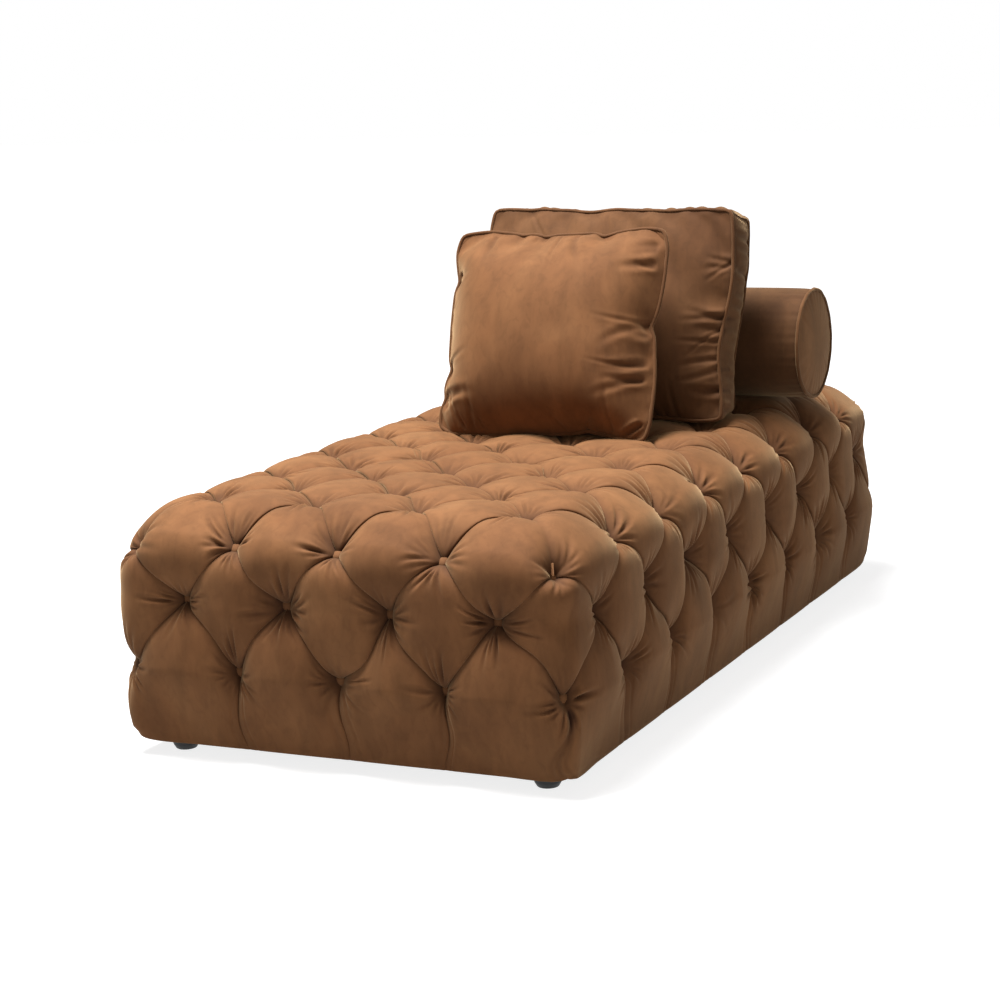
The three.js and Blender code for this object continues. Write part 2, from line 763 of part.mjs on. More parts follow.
// The least distance from any of the points along a direction to the pieces that face it.
function leastDrop(points, direction, pieces) {
  const caster = new THREE.Raycaster();
  return points.reduce((least, point) => {
    caster.set(point, direction);
    const hit = caster.intersectObjects(pieces, false)[0];
    return hit ? Math.min(least, hit.distance) : least;
  }, Infinity);
}

// Raises a loose piece along a direction until its lowest point just clears the highest puff.
function raiseOverSeat(group, direction, seat) {
  const rise = extent(seat, up, 1) + gap - extent(group, up, -1);
  group.position.addScaledVector(direction, rise / direction.z);
}

// Sets a raised piece down on the tufted seat, along the way that it lifts off.
function restOnSeat(group, seat) {
  group.updateMatrixWorld(true);
  const region = new THREE.Box3().setFromObject(group, true);
  region.min.z = cavityTop;
  region.max.z = extent(seat, up, 1) + settleDepth;
  const downward = liftDirection.clone().negate();
  const fromPiece = leastDrop(edgePoints(group.children, region), downward, [seat]);
  const fromSeat = leastDrop(edgePoints([seat], region), liftDirection, group.children);
  group.position.addScaledVector(downward, Math.min(fromPiece, fromSeat) - gap - settleAllowance);
}

function makeBoxCushion() {
  const cushion = new THREE.Group();
  const shares = gridShares(boxSteps);
  const size = { width: boxWidth, height: boxHeight, drawIn: boxDrawIn, cornerPull: boxCornerPull };
  const backSize = { ...size, rise: boxBackRise, narrowing: boxBackNarrowing };
  const rimInset = pipingRadius + gap;
  const frontPanel = crownedPanel(size, shares, -1, 0, boxCrown);
  addPiece(cushion, 'box_cushion_front_panel', frontPanel, velvet);
  const backPanel = crownedPanel(backSize, shares, 1, boxDepth, boxCrown);
  addPiece(cushion, 'box_cushion_back_panel', backPanel, velvet);

  const frontSeam = pipingRing(outlineLoop(size, shares, rimInset, -clothThickness / 2));
  addPiece(cushion, 'box_cushion_front_piping', frontSeam, pipingVelvet);
  const backSeam = pipingRing(outlineLoop(backSize, shares, rimInset, boxDepth + clothThickness / 2));
  addPiece(cushion, 'box_cushion_back_piping', backSeam, pipingVelvet);

  const bandFront = pipingRadius - clothThickness / 2 + gap;
  const bandBack = boxDepth + clothThickness / 2 - pipingRadius - gap;
  const band = bandRing(
    outlineLoop(size, shares, pipingRadius, bandFront),
    outlineLoop(backSize, shares, pipingRadius, bandBack),
    outlineLoop(size, shares, pipingRadius - clothThickness, bandFront),
    outlineLoop(backSize, shares, pipingRadius - clothThickness, bandBack),
  );
  const slope = Math.atan2(boxBackRise, boxDepth);
  const zipPlace = new THREE.Matrix4()
    .makeRotationX(Math.PI + slope)
    .setPosition(0, boxDepth / 2, boxBackRise / 2 - pipingRadius);
  addPiece(cushion, 'box_cushion_band', cut(band, [zipSlot(boxZipLength).applyMatrix4(zipPlace)]), velvet);
  addZip(cushion, 'box_cushion', boxZipLength, zipPlace);

  const frontLayer = (u, v) => {
    const { x, z } = panelPlace(size, u, v);
    return new THREE.Vector3(x, gap - boxCrown * crownShare(u, v), z);
  };
  const backLayer = (u, v) => {
    const { x, z } = panelPlace(backSize, u, v);
    return new THREE.Vector3(x, boxDepth - gap + boxCrown * crownShare(u, v), z);
  };
  addPiece(cushion, 'box_cushion_filling', layered(shares.slice(1, -1), backLayer, frontLayer), fibre);

  cushion.rotation.x = -lean;
  cushion.position.x = boxAcross;
  return cushion;
}

// A band between a front and a back loop, given by its outer and inner edges.
function bandRing(outerFront, outerBack, innerFront, innerBack) {
  const skin = new Skin();
  const count = outerFront.length;
  for (let i = 0; i < count; i += 1) {
    const n = (i + 1) % count;
    skin.quad(outerFront[i], outerFront[n], outerBack[n], outerBack[i]);
    skin.quad(innerFront[n], innerFront[i], innerBack[i], innerBack[n]);
    skin.quad(outerFront[n], outerFront[i], innerFront[i], innerFront[n]);
    skin.quad(outerBack[i], outerBack[n], innerBack[n], innerBack[i]);
  }
  return skin.geometry();
}

function makeThrowCushion() {
  const cushion = new THREE.Group();
  const shares = gridShares(throwSteps);
  const size = { width: throwWidth, height: throwHeight, drawIn: throwDrawIn, cornerPull: throwCornerPull };
  const rim = gap / 2;
  addPiece(cushion, 'throw_cushion_front_panel', crownedPanel(size, shares, -1, rim, throwCrown), velvet);
  const zipPlace = new THREE.Matrix4()
    .makeRotationX(Math.PI)
    .setPosition(0, throwZipBehindSeam, throwZipHeight(shares));
  const back = crownedPanel(size, shares, 1, rim, throwCrown);
  const slot = zipSlot(throwZipLength).applyMatrix4(zipPlace);
  addPiece(cushion, 'throw_cushion_back_panel', cut(back, [slot]), velvet);
  addZip(cushion, 'throw_cushion', throwZipLength, zipPlace);
  const seam = pipingRing(outlineLoop(size, shares, pipingRadius + gap, 0));
  addPiece(cushion, 'throw_cushion_piping', seam, pipingVelvet);
  const layer = (sign) => (u, v) => {
    const { x, z } = panelPlace(size, u, v);
    return new THREE.Vector3(x, sign * (throwCrown * crownShare(u, v) - gap), z);
  };
  addPiece(cushion, 'throw_cushion_filling', layered(shares.slice(1, -1), layer(1), layer(-1)), fibre);
  cushion.rotation.set(
    -THREE.MathUtils.degToRad(throwLeanDegrees),
    THREE.MathUtils.degToRad(throwRollDegrees),
    THREE.MathUtils.degToRad(throwTurnDegrees),
    'ZXY',
  );
  cushion.position.x = throwAcross;
  return cushion;
}

// Where the cover's outer face lies above the seam line at the zip.
function throwZipHeight(shares) {
  const rise = (throwHeight / 2) * (1 + shares[1]);
  const run = throwCrown * crownShare(0, shares[1]);
  return (rise * (throwZipBehindSeam - clothThickness)) / run;
}

function makeBolster() {
  const bolster = new THREE.Group();
  const endX = bolsterLength / 2;
  const sleeveX = endX - pipingRadius - gap;
  const innerRadius = bolsterRadius - clothThickness;
  const alongX = (geometry) => geometry.rotateY(Math.PI / 2);
  const sleeve = alongX(turned([[innerRadius, -sleeveX], [bolsterRadius, -sleeveX], [bolsterRadius, sleeveX],
    [innerRadius, sleeveX], [innerRadius, -sleeveX]], bolsterSegments));
  const facet = (2 * Math.PI) / bolsterSegments;
  const angle = (bolsterZipFacetCount + 1 / 2) * facet;
  const apothem = bolsterRadius * Math.cos(facet / 2);
  const zipPlace = new THREE.Matrix4()
    .makeRotationX(Math.PI + angle)
    .setPosition(0, apothem * Math.sin(angle), -apothem * Math.cos(angle));
  const slot = zipSlot(bolsterZipLength).applyMatrix4(zipPlace);
  addPiece(bolster, 'bolster_sleeve', cut(sleeve, [slot]), velvet);
  addZip(bolster, 'bolster', bolsterZipLength, zipPlace);
  const discRadius = bolsterRadius - pipingReach - gap;
  for (const [side, sign] of [['left', -1], ['right', 1]]) {
    const disc = turned([[0, -clothThickness / 2], [discRadius, -clothThickness / 2],
      [discRadius, clothThickness / 2], [discRadius * Math.SQRT1_2, bolsterEndCrown * Math.SQRT1_2],
      [0, bolsterEndCrown]], bolsterSegments);
    const placed = alongX(disc);
    if (sign < 0) placed.rotateZ(Math.PI);
    placed.translate(sign * endX, 0, 0);
    addPiece(bolster, `bolster_end_${side}`, placed, velvet);
    const ring = new THREE.TorusGeometry(bolsterRadius, pipingRadius, pipingSides, bolsterSegments);
    ring.rotateY(Math.PI / 2).translate(sign * endX, 0, 0);
    addPiece(bolster, `bolster_piping_${side}`, ring, pipingVelvet);
  }
  const coreRadius = innerRadius - zipThickness - gap;
  const coreX = endX - clothThickness / 2 - gap;
  const core = alongX(turned([[0, -coreX], [coreRadius, -coreX], [coreRadius, coreX], [0, coreX]],
    bolsterSegments));
  addPiece(bolster, 'bolster_filling', core, fibre);
  bolster.position.x = bolsterAcross;
  return bolster;
}

// Sets a piece against the box cushion, in front of it or behind it, and down on the seat.
function restAgainst(group, cushion, sign, seat) {
  const reach = extent(cushion, liftNormal, sign) + sign * gap - extent(group, liftNormal, -sign);
  group.position.addScaledVector(liftNormal, reach);
  raiseOverSeat(group, liftDirection, seat);
  restOnSeat(group, seat);
}

function addLoosePieces() {
  const boxCushion = makeBoxCushion();
  const throwCushion = makeThrowCushion();
  const bolster = makeBolster();
  const seat = couch.getObjectByName('tufted_top');
  boxCushion.position.y = boxAlong;
  raiseOverSeat(boxCushion, up, seat);
  restOnSeat(boxCushion, seat);
  restAgainst(throwCushion, boxCushion, -1, seat);
  restAgainst(bolster, boxCushion, 1, seat);
  couch.add(throwCushion, boxCushion, bolster);
}

addUpholstery();
addPosts();
addRails();
addSlats();
addBoards();
addDustCover();
addFeet();
addLoosePieces();

export default couch;
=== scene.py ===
# %% [markdown]
# # A button-tufted fainting couch
#
# The real couch is a long, low, backless seat, upholstered in caramel velvet. Its top and sides are
# deep-buttoned in diamonds, and a throw cushion, a box cushion and a bolster lie loose at one end. The
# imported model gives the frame: every place below is in its metres, with +Z up and the free end towards -Y.
# This notebook dresses that frame. Hard pieces keep their modelled shape and get a finish, and soft pieces
# are made again with their folds.

# %% Load the frame
import json
import math

import bmesh
import bpy
import numpy as np
from mathutils import Matrix, Vector
from mathutils.bvhtree import BVHTree
from mathutils.kdtree import KDTree

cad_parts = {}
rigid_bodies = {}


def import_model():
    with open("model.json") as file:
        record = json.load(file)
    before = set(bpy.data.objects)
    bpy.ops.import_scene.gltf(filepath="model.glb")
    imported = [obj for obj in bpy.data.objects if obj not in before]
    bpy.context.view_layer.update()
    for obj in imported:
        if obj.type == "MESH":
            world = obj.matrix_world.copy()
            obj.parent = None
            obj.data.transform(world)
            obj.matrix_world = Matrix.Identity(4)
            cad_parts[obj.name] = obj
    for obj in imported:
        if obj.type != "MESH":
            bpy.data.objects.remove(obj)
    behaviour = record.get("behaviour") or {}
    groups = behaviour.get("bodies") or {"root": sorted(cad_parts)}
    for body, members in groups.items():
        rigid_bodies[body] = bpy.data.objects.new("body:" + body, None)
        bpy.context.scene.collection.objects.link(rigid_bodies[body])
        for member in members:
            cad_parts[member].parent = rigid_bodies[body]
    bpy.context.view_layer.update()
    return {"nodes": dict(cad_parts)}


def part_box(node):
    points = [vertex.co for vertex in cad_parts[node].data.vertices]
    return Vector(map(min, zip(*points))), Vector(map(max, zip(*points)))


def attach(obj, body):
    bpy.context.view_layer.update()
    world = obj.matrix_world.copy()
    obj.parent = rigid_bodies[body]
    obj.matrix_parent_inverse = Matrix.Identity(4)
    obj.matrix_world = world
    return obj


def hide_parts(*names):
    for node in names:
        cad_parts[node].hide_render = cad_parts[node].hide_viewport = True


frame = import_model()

mm = 0.001

# %% [markdown]
# ## The camera
#
# The view was worked out by fitting the lattice of buttons to a picture of the couch. The result is a
# place, three angles and a focal length, so the camera needs no target and no constraint. The lens is long,
# as in a studio, and the film is square.

# %% The camera
camera_place = (2.0777, -4.5195, 1.3282)
camera_tilt, camera_roll, camera_turn = 78.646, 2.375, 25.263
camera_lens = 86.87
film_width = 36.0
camera_reach = 60.0

camera_data = bpy.data.cameras.new("studio_camera")
camera_data.lens = camera_lens
camera_data.sensor_width = film_width
camera_data.clip_end = camera_reach
camera = bpy.data.objects.new("studio_camera", camera_data)
bpy.context.collection.objects.link(camera)
camera.location = camera_place
camera.rotation_euler = [math.radians(angle) for angle in (camera_tilt, camera_roll, camera_turn)]
bpy.context.scene.camera = camera
print("camera at", camera_place)

# %% [markdown]
# ## Helpers for meshes
#
# Soft surfaces here are grids of points worked out with numpy, because every point then has a reason, and a
# fold can be as sharp as the grid is fine. A few helpers turn such grids into Blender objects with smooth
# shading.

# %% Mesh helpers
def plain_object(name, points, faces):
    """A plain mesh object, not yet riding on a body."""
    mesh = bpy.data.meshes.new(name)
    mesh.from_pydata([tuple(p) for p in points], [], [tuple(f) for f in faces])
    mesh.update()
    item = bpy.data.objects.new(name, mesh)
    bpy.context.collection.objects.link(item)
    return item


def add_mesh(name, points, faces, body, material):
    """One smooth-shaded piece that rides on a body of the frame."""
    piece = plain_object(name, points, faces)
    piece.data.shade_smooth()
    piece.data.materials.append(material)
    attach(piece, body)
    return piece


def discard(item):
    """Removes an object and its mesh."""
    mesh = item.data
    bpy.data.objects.remove(item)
    bpy.data.meshes.remove(mesh)


def evaluated(item):
    """An object's mesh with its modifiers worked out."""
    return item.evaluated_get(bpy.context.evaluated_depsgraph_get()).data


def grid_faces(rows, columns):
    """Quads of a grid of points that is stored row by row."""
    row, column = np.meshgrid(np.arange(rows - 1), np.arange(columns - 1), indexing="ij")
    corner = row * columns + column
    return np.stack([corner, corner + 1, corner + columns + 1, corner + columns], axis=-1).reshape(-1, 4)


def ring_faces(rings, segments):
    """Quads between rings of points that are stored one after another."""
    faces = []
    for ring in range(rings - 1):
        here, above = ring * segments, (ring + 1) * segments
        for i in range(segments):
            after = (i + 1) % segments
            faces.append((here + i, here + after, above + after, above + i))
    return faces


def closed_strip(numbers):
    """Quads between rows of point numbers, where the last point of a row is followed by its first."""
    here, after = numbers[:-1], numbers[1:]
    quads = [here, np.roll(here, -1, axis=1), np.roll(after, -1, axis=1), after]
    return np.stack(quads, axis=-1).reshape(-1, 4)


def fix_normals(piece):
    """Turns all faces of a closed piece outwards."""
    mesh = bmesh.new()
    mesh.from_mesh(piece.data)
    bmesh.ops.recalc_face_normals(mesh, faces=list(mesh.faces))
    mesh.to_mesh(piece.data)
    mesh.free()


def points_of(mesh):
    """The points of a mesh."""
    points = np.zeros(len(mesh.vertices) * 3)
    mesh.vertices.foreach_get("co", points)
    return points.reshape(-1, 3)


def box_of(node):
    """The lowest and the highest corner of a node."""
    low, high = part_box(node)
    return np.array(low), np.array(high)


def mark_painted_shade(piece, shares):
    """Stores how much painted shade each point gets in folds, creases, seams and recesses, for the velvet.
    """
    attribute = piece.data.attributes.new("fold", "FLOAT", "POINT")
    attribute.data.foreach_set("value", np.asarray(shares, dtype=np.float32))


def smooth_step(low, high, value):
    """0 below low, 1 above high, and a smooth rise between them."""
    share = np.clip((value - low) / (high - low), 0, 1)
    return share * share * (3 - 2 * share)


print("helpers ready")

# %% [markdown]
# ## The finishes
#
# Velvet is a short standing pile. It has three marks that the eye looks for: a bright rim where the surface
# turns away, cloudy patches where a hand has brushed the pile another way, and a fine grain. The rim comes
# from sheen, the patches from three sizes of stretched noise, and the grain from a bump. All of it is
# procedural and follows the piece's own space, so that it needs no unwrapping. Besides these, painted shade
# darkens the velvet in folds, creases, seams and the wells round the buttons, by a share stored on each
# point.

# %% Node helpers
def new_material(name, roughness, metallic=0.0):
    """A plain material, its node tree and its shader node."""
    material = bpy.data.materials.new(name)
    material.use_nodes = True
    tree = material.node_tree
    shader = tree.nodes["Principled BSDF"]
    shader.inputs["Roughness"].default_value = roughness
    shader.inputs["Metallic"].default_value = metallic
    return material, tree, shader


def add_node(tree, kind, inputs=None, **settings):
    """A node with its settings, and with values or links on its inputs."""
    node = tree.nodes.new(kind)
    for key, value in settings.items():
        setattr(node, key, value)
    for key, value in (inputs or {}).items():
        if isinstance(value, bpy.types.NodeSocket):
            tree.links.new(value, node.inputs[key])
        else:
            node.inputs[key].default_value = value
    return node


def noise(tree, scale, detail, scales=(1, 1, 1), distortion=0.0):
    """Noise in the piece's own space, from 0 to 1. A scale below 1 stretches it along that axis."""
    place = add_node(tree, "ShaderNodeTexCoord").outputs["Object"]
    mapping = add_node(tree, "ShaderNodeMapping", {"Vector": place, "Scale": scales})
    pattern = add_node(tree, "ShaderNodeTexNoise", {
        "Vector": mapping.outputs["Vector"],
        "Scale": scale,
        "Detail": detail,
        "Distortion": distortion,
    })
    return pattern.outputs["Fac"]


def ramp(tree, value, stops):
    """A colour ramp through (position, colour) stops."""
    node = add_node(tree, "ShaderNodeValToRGB", {"Fac": value})
    while len(node.color_ramp.elements) < len(stops):
        node.color_ramp.elements.new(0.5)
    for element, (position, colour) in zip(node.color_ramp.elements, stops):
        element.position = position
        element.color = (*colour, 1.0)
    return node.outputs["Color"]


def mix_colour(tree, share, first, second, blend="MIX"):
    """Two colours mixed by a share, which may be a number or another node's output."""
    node = tree.nodes.new("ShaderNodeMix")
    node.data_type = "RGBA"
    node.blend_type = blend
    for name, value in (("Factor_Float", share), ("A_Color", first), ("B_Color", second)):
        socket = next(s for s in node.inputs if s.identifier == name)
        if isinstance(value, bpy.types.NodeSocket):
            tree.links.new(value, socket)
        elif name == "Factor_Float":
            socket.default_value = value
        else:
            socket.default_value = (*value, 1.0)
    return next(s for s in node.outputs if s.identifier == "Result_Color")


def add_bump(tree, shader, height, distance, strength=1.0):
    """Small relief on a shader, from a height between 0 and 1."""
    bump = add_node(tree, "ShaderNodeBump", {"Height": height, "Distance": distance, "Strength": strength})
    tree.links.new(bump.outputs["Normal"], shader.inputs["Normal"])


print("node helpers ready")

# %% The velvet
velvet_light = (0.275, 0.128, 0.052)
velvet_middle = (0.192, 0.081, 0.031)
velvet_dark = (0.104, 0.039, 0.014)
# Painted shade: the colour mixed into the velvet where folds, creases, seams and button wells fall into
# shade.
velvet_painted_shade = (0.036, 0.013, 0.006)
velvet_roughness, velvet_specular = 0.82, 0.15
sheen_weight, sheen_roughness = 0.36, 0.4
sheen_tint = (1.0, 0.70, 0.38, 1.0)
patch_scale, patch_share = 7.0, 0.5
streak_scale, streak_shade = 26.0, 0.78
thumbed_scale, thumbed_shade = 60.0, 0.90
pile_scale, pile_height, pile_strength = 900.0, 0.4 * mm, 0.35


def toned(shade, tone):
    """A colour made lighter or darker by one factor."""
    return tuple(channel * tone for channel in shade)


def darkened(tree, base, pattern, low, high, shade):
    """A colour times a shade where a pattern is low, and unchanged where it is high."""
    tones = ramp(tree, pattern, [(low, (shade,) * 3), (high, (1.0,) * 3)])
    return mix_colour(tree, 1.0, base, tones, blend="MULTIPLY")


def make_velvet(name, tone=1.0):
    """Caramel velvet: cloudy nap patches, faint streaks, painted shade in folds, soft sheen and a fine pile.
    """
    material, tree, shader = new_material(name, velvet_roughness)
    dark, middle, light = (toned(shade, tone) for shade in (velvet_dark, velvet_middle, velvet_light))
    patches = noise(tree, patch_scale, detail=4.0, scales=(1, 1, 0.7), distortion=0.6)
    clouds = ramp(tree, patches, [(0.25, dark), (0.5, middle), (0.75, light)])
    base = mix_colour(tree, patch_share, middle, clouds)
    streaks = noise(tree, streak_scale, detail=3.0, scales=(1, 1, 0.3), distortion=0.5)
    base = darkened(tree, base, streaks, 0.3, 0.65, streak_shade)
    thumbed = noise(tree, thumbed_scale, detail=5.0, scales=(1, 1, 0.6), distortion=0.9)
    base = darkened(tree, base, thumbed, 0.36, 0.52, thumbed_shade)
    # Painted shade: the point value called fold mixes in the dark colour in folds and recesses.
    folds = add_node(tree, "ShaderNodeAttribute", attribute_name="fold").outputs["Fac"]
    base = mix_colour(tree, folds, base, toned(velvet_painted_shade, tone))
    tree.links.new(base, shader.inputs["Base Color"])
    shader.inputs["Specular IOR Level"].default_value = velvet_specular
    shader.inputs["Sheen Weight"].default_value = sheen_weight
    shader.inputs["Sheen Roughness"].default_value = sheen_roughness
    shader.inputs["Sheen Tint"].default_value = sheen_tint
    add_bump(tree, shader, noise(tree, pile_scale, detail=2.0), pile_height, pile_strength)
    return material


# The piping, the loose cushions and the bolster's sleeve get darker copies of the same velvet: painted
# shade.
velvet = make_velvet("velvet")
velvet_piping = make_velvet("velvet_piping", tone=0.6)
shaded_velvet_throw = make_velvet("shaded_velvet_throw", tone=0.9)
shaded_velvet_box = make_velvet("shaded_velvet_box", tone=0.62)
shaded_velvet_bolster = make_velvet("shaded_velvet_bolster", tone=0.46)
print("velvet:", [item.name for item in (velvet, velvet_piping, shaded_velvet_throw, shaded_velvet_box, shaded_velvet_bolster)])

# %% [markdown]
# ## What the couch is made of inside
#
# The inside is hidden at the camera's angle, but the part will be turned over and taken apart. Timber gets
# growth rings stretched along the piece, plywood gets its face grain, foam gets its open cells and the
# filling its loose fibres. The dust cover is a spun felt, and the small hardware is steel, brass and
# moulded plastic.

# %% The finishes inside
timber_light, timber_dark = (0.60, 0.41, 0.22), (0.42, 0.26, 0.12)
timber_roughness = 0.62
pore_scale = 160.0
waves_per_thread = 0.31


def make_grain(name, light, dark, scales, roughness, ring_scale=9.0):
    """Wood: rings seen along the grain, and fine pores in its colour and its relief."""
    material, tree, shader = new_material(name, roughness)
    rings = noise(tree, ring_scale, detail=4.0, scales=scales, distortion=1.4)
    pores = noise(tree, pore_scale, detail=2.0, scales=scales)
    shade = ramp(tree, rings, [(0.3, dark), (0.5, light), (0.7, toned(light, 0.86))])
    tree.links.new(darkened(tree, shade, pores, 0.35, 0.6, 0.8), shader.inputs["Base Color"])
    add_bump(tree, shader, pores, distance=0.4 * mm, strength=0.4)
    return material


def make_speckle(name, light, dark, scale, roughness, relief, metallic=0.0):
    """An even finish with fine variation of its colour, its roughness and its relief."""
    material, tree, shader = new_material(name, roughness, metallic)
    grains = noise(tree, scale, detail=4.0)
    clouds = noise(tree, scale / 25, detail=2.0)
    colour = ramp(tree, grains, [(0.35, dark), (0.65, light)])
    tree.links.new(darkened(tree, colour, clouds, 0.3, 0.7, 0.88), shader.inputs["Base Color"])
    rough = add_node(tree, "ShaderNodeMapRange", {
        "Value": clouds, "To Min": roughness - 0.06, "To Max": min(roughness + 0.08, 1.0),
    })
    tree.links.new(rough.outputs["Result"], shader.inputs["Roughness"])
    add_bump(tree, shader, grains, distance=relief, strength=0.6)
    return material


def make_weave(name, light, dark, thread, roughness):
    """A plain weave: two sets of fine waves that cross, for tapes and backing cloth."""
    material, tree, shader = new_material(name, roughness)
    place = add_node(tree, "ShaderNodeTexCoord").outputs["Object"]
    threads = []
    for direction in ("X", "Y"):
        wave = add_node(tree, "ShaderNodeTexWave", {
            "Vector": place, "Scale": waves_per_thread / thread, "Distortion": 0.4, "Detail": 1.0,
            "Detail Scale": 3.0,
        }, bands_direction=direction)
        threads.append(wave.outputs["Fac"])
    both = add_node(tree, "ShaderNodeMath", {0: threads[0], 1: threads[1]}, operation="MAXIMUM").outputs[0]
    tree.links.new(ramp(tree, both, [(0.2, dark), (0.9, light)]), shader.inputs["Base Color"])
    add_bump(tree, shader, both, distance=0.2 * mm, strength=0.6)
    return material


def make_timber(name, scales):
    """Timber whose grain runs along the axis with the smallest scale."""
    return make_grain(name, timber_light, timber_dark, scales, timber_roughness)


timber_along_x = make_timber("timber_along_x", (0.12, 1, 1))
timber_along_y = make_timber("timber_along_y", (1, 0.12, 1))
timber_upright = make_timber("timber_upright", (1, 1, 0.12))
plywood = make_grain("plywood", (0.66, 0.50, 0.31), (0.50, 0.35, 0.19), (1, 0.15, 1), 0.55, ring_scale=6.0)
foam = make_speckle(
    "foam", (0.80, 0.74, 0.56), (0.62, 0.55, 0.38), scale=260.0, roughness=0.92, relief=1.2 * mm,
)
fibre_filling = make_speckle(
    "fibre_filling", (0.86, 0.85, 0.82), (0.70, 0.69, 0.66), scale=55.0, roughness=0.95, relief=4 * mm,
)
lining_cloth = make_speckle(
    "lining_cloth", (0.035, 0.033, 0.032), (0.018, 0.017, 0.017), scale=420.0, roughness=0.93,
    relief=0.6 * mm,
)
foot_plastic = make_speckle(
    "foot_plastic", (0.012, 0.012, 0.013), (0.007, 0.007, 0.008), scale=700.0, roughness=0.5,
    relief=0.2 * mm,
)
screw_steel = make_speckle(
    "screw_steel", (0.62, 0.62, 0.60), (0.46, 0.46, 0.45), scale=300.0, roughness=0.32, relief=0.1 * mm,
    metallic=1.0,
)
zip_metal = make_speckle(
    "zip_metal", (0.47, 0.35, 0.18), (0.33, 0.24, 0.12), scale=300.0, roughness=0.34, relief=0.1 * mm,
    metallic=1.0,
)
zip_tape = make_weave(
    "zip_tape", (0.085, 0.040, 0.020), (0.040, 0.018, 0.009), thread=0.9 * mm, roughness=0.9,
)
print("finishes:", len(bpy.data.materials))

# %% [markdown]
# ## The lattice of buttons
#
# Deep buttoning follows a lattice. Buttons stand at every whole pitch and in the middle of every four, so
# each puff is a diamond with a button at each of its corners. Here the lattice has 4 pitches across and 8
# along, and it goes on over the rounded edge and down the sides. One number, the depth, says where a point
# is: below 0 it lies on the top, 0 is the row of buttons on the edge, and 1 is the lowest row. A curve
# through a few measured points turns the depth into a height and a reach.

# %% Sizes of the tufting
across_pitch = 210 * mm
along_pitch = 219.3 * mm
pitches_across = 4
pitches_along = 8
half_across = across_pitch * pitches_across / 2
half_along = along_pitch * pitches_along / 2

top_button_height = 453 * mm
profile_depth = np.array([-0.5, -0.25, 0.0, 0.5, 1.0, 1.58])
profile_out = np.array([-105, -49, 6, 14, 19, 18]) * mm
profile_height = np.array([453, 446, 404.5, 304.5, 176, 29.2]) * mm
hem_depth = profile_depth[-1]


def smooth_through(at, places, values):
    """A smooth curve through a few points: cubic pieces whose slopes are those of the neighbours."""
    slopes = np.gradient(values, places)
    piece = np.clip(np.searchsorted(places, at, side="right") - 1, 0, len(places) - 2)
    width = places[piece + 1] - places[piece]
    t = (at - places[piece]) / width
    start, end = values[piece], values[piece + 1]
    return (
        start * (2 * t**3 - 3 * t**2 + 1)
        + end * (3 * t**2 - 2 * t**3)
        + slopes[piece] * width * (t**3 - 2 * t**2 + t)
        + slopes[piece + 1] * width * (t**3 - t**2)
    )


print("body:", round(2 * half_across, 3), "x", round(2 * half_along, 3), "m at the buttons")

# %% [markdown]
# ## From lattice to place
#
# Two small maps give the ground that the puffs stand on. `top_ground` is for the flat top, and
# `side_ground` goes round the body by a distance along its edge. Both return a place and the direction in
# which a puff swells. Near an edge or a corner that direction turns smoothly outwards, and this is what
# makes the corners look stuffed.

# %% Maps for the ground
corner_reach = 0.5
corner_radius_depth = np.array([-0.5, 0.0, 1.0, 1.58])
corner_radius = np.array([51, 51, 34, 30]) * mm
corner_flare, back_corner_draw = 15 * mm, 6 * mm
corner_tuck, corner_lift = 6 * mm, 8 * mm
edge_turn_power = 1.5
corner_drop_power = 2.1
flare_from, flare_to = 0.9, 1.4
draw_to = 0.4
tuck_from, lift_from = 1.5, 1.35


def edge_turn(distance):
    """How far a puff's direction turns towards an edge that is this many pitches away."""
    return np.clip(1 - 2 * distance, 0, 1) ** edge_turn_power


def round_corner(distance, pitch, out, depth):
    """The place beside a rounded corner: the distance from the lattice's corner, and the reach outwards."""
    radius = np.interp(depth, corner_radius_depth, corner_radius)
    reach = corner_reach * pitch
    arc = radius * math.pi / 4
    run = distance * pitch / reach * (reach + out - radius + arc)
    turn = np.minimum(run, arc) / radius
    on_arc = run < arc
    along = np.where(on_arc, radius - out - radius * np.sin(math.pi / 4 - turn), run - arc + radius - out)
    outwards = np.where(on_arc, out - radius + radius * np.cos(math.pi / 4 - turn), out)
    return along, outwards


def corner_drop(first, second):
    """How far the ground lies below the top's buttons, from the drops of the two nearest edges."""
    return (first**corner_drop_power + second**corner_drop_power) ** (1 / corner_drop_power)


def edge_drop(distance):
    """The drop near one edge, at a distance in pitches inwards from it."""
    depth = -np.clip(distance, 0, 0.5)
    return np.maximum(top_button_height - smooth_through(depth, profile_depth, profile_height), 0)


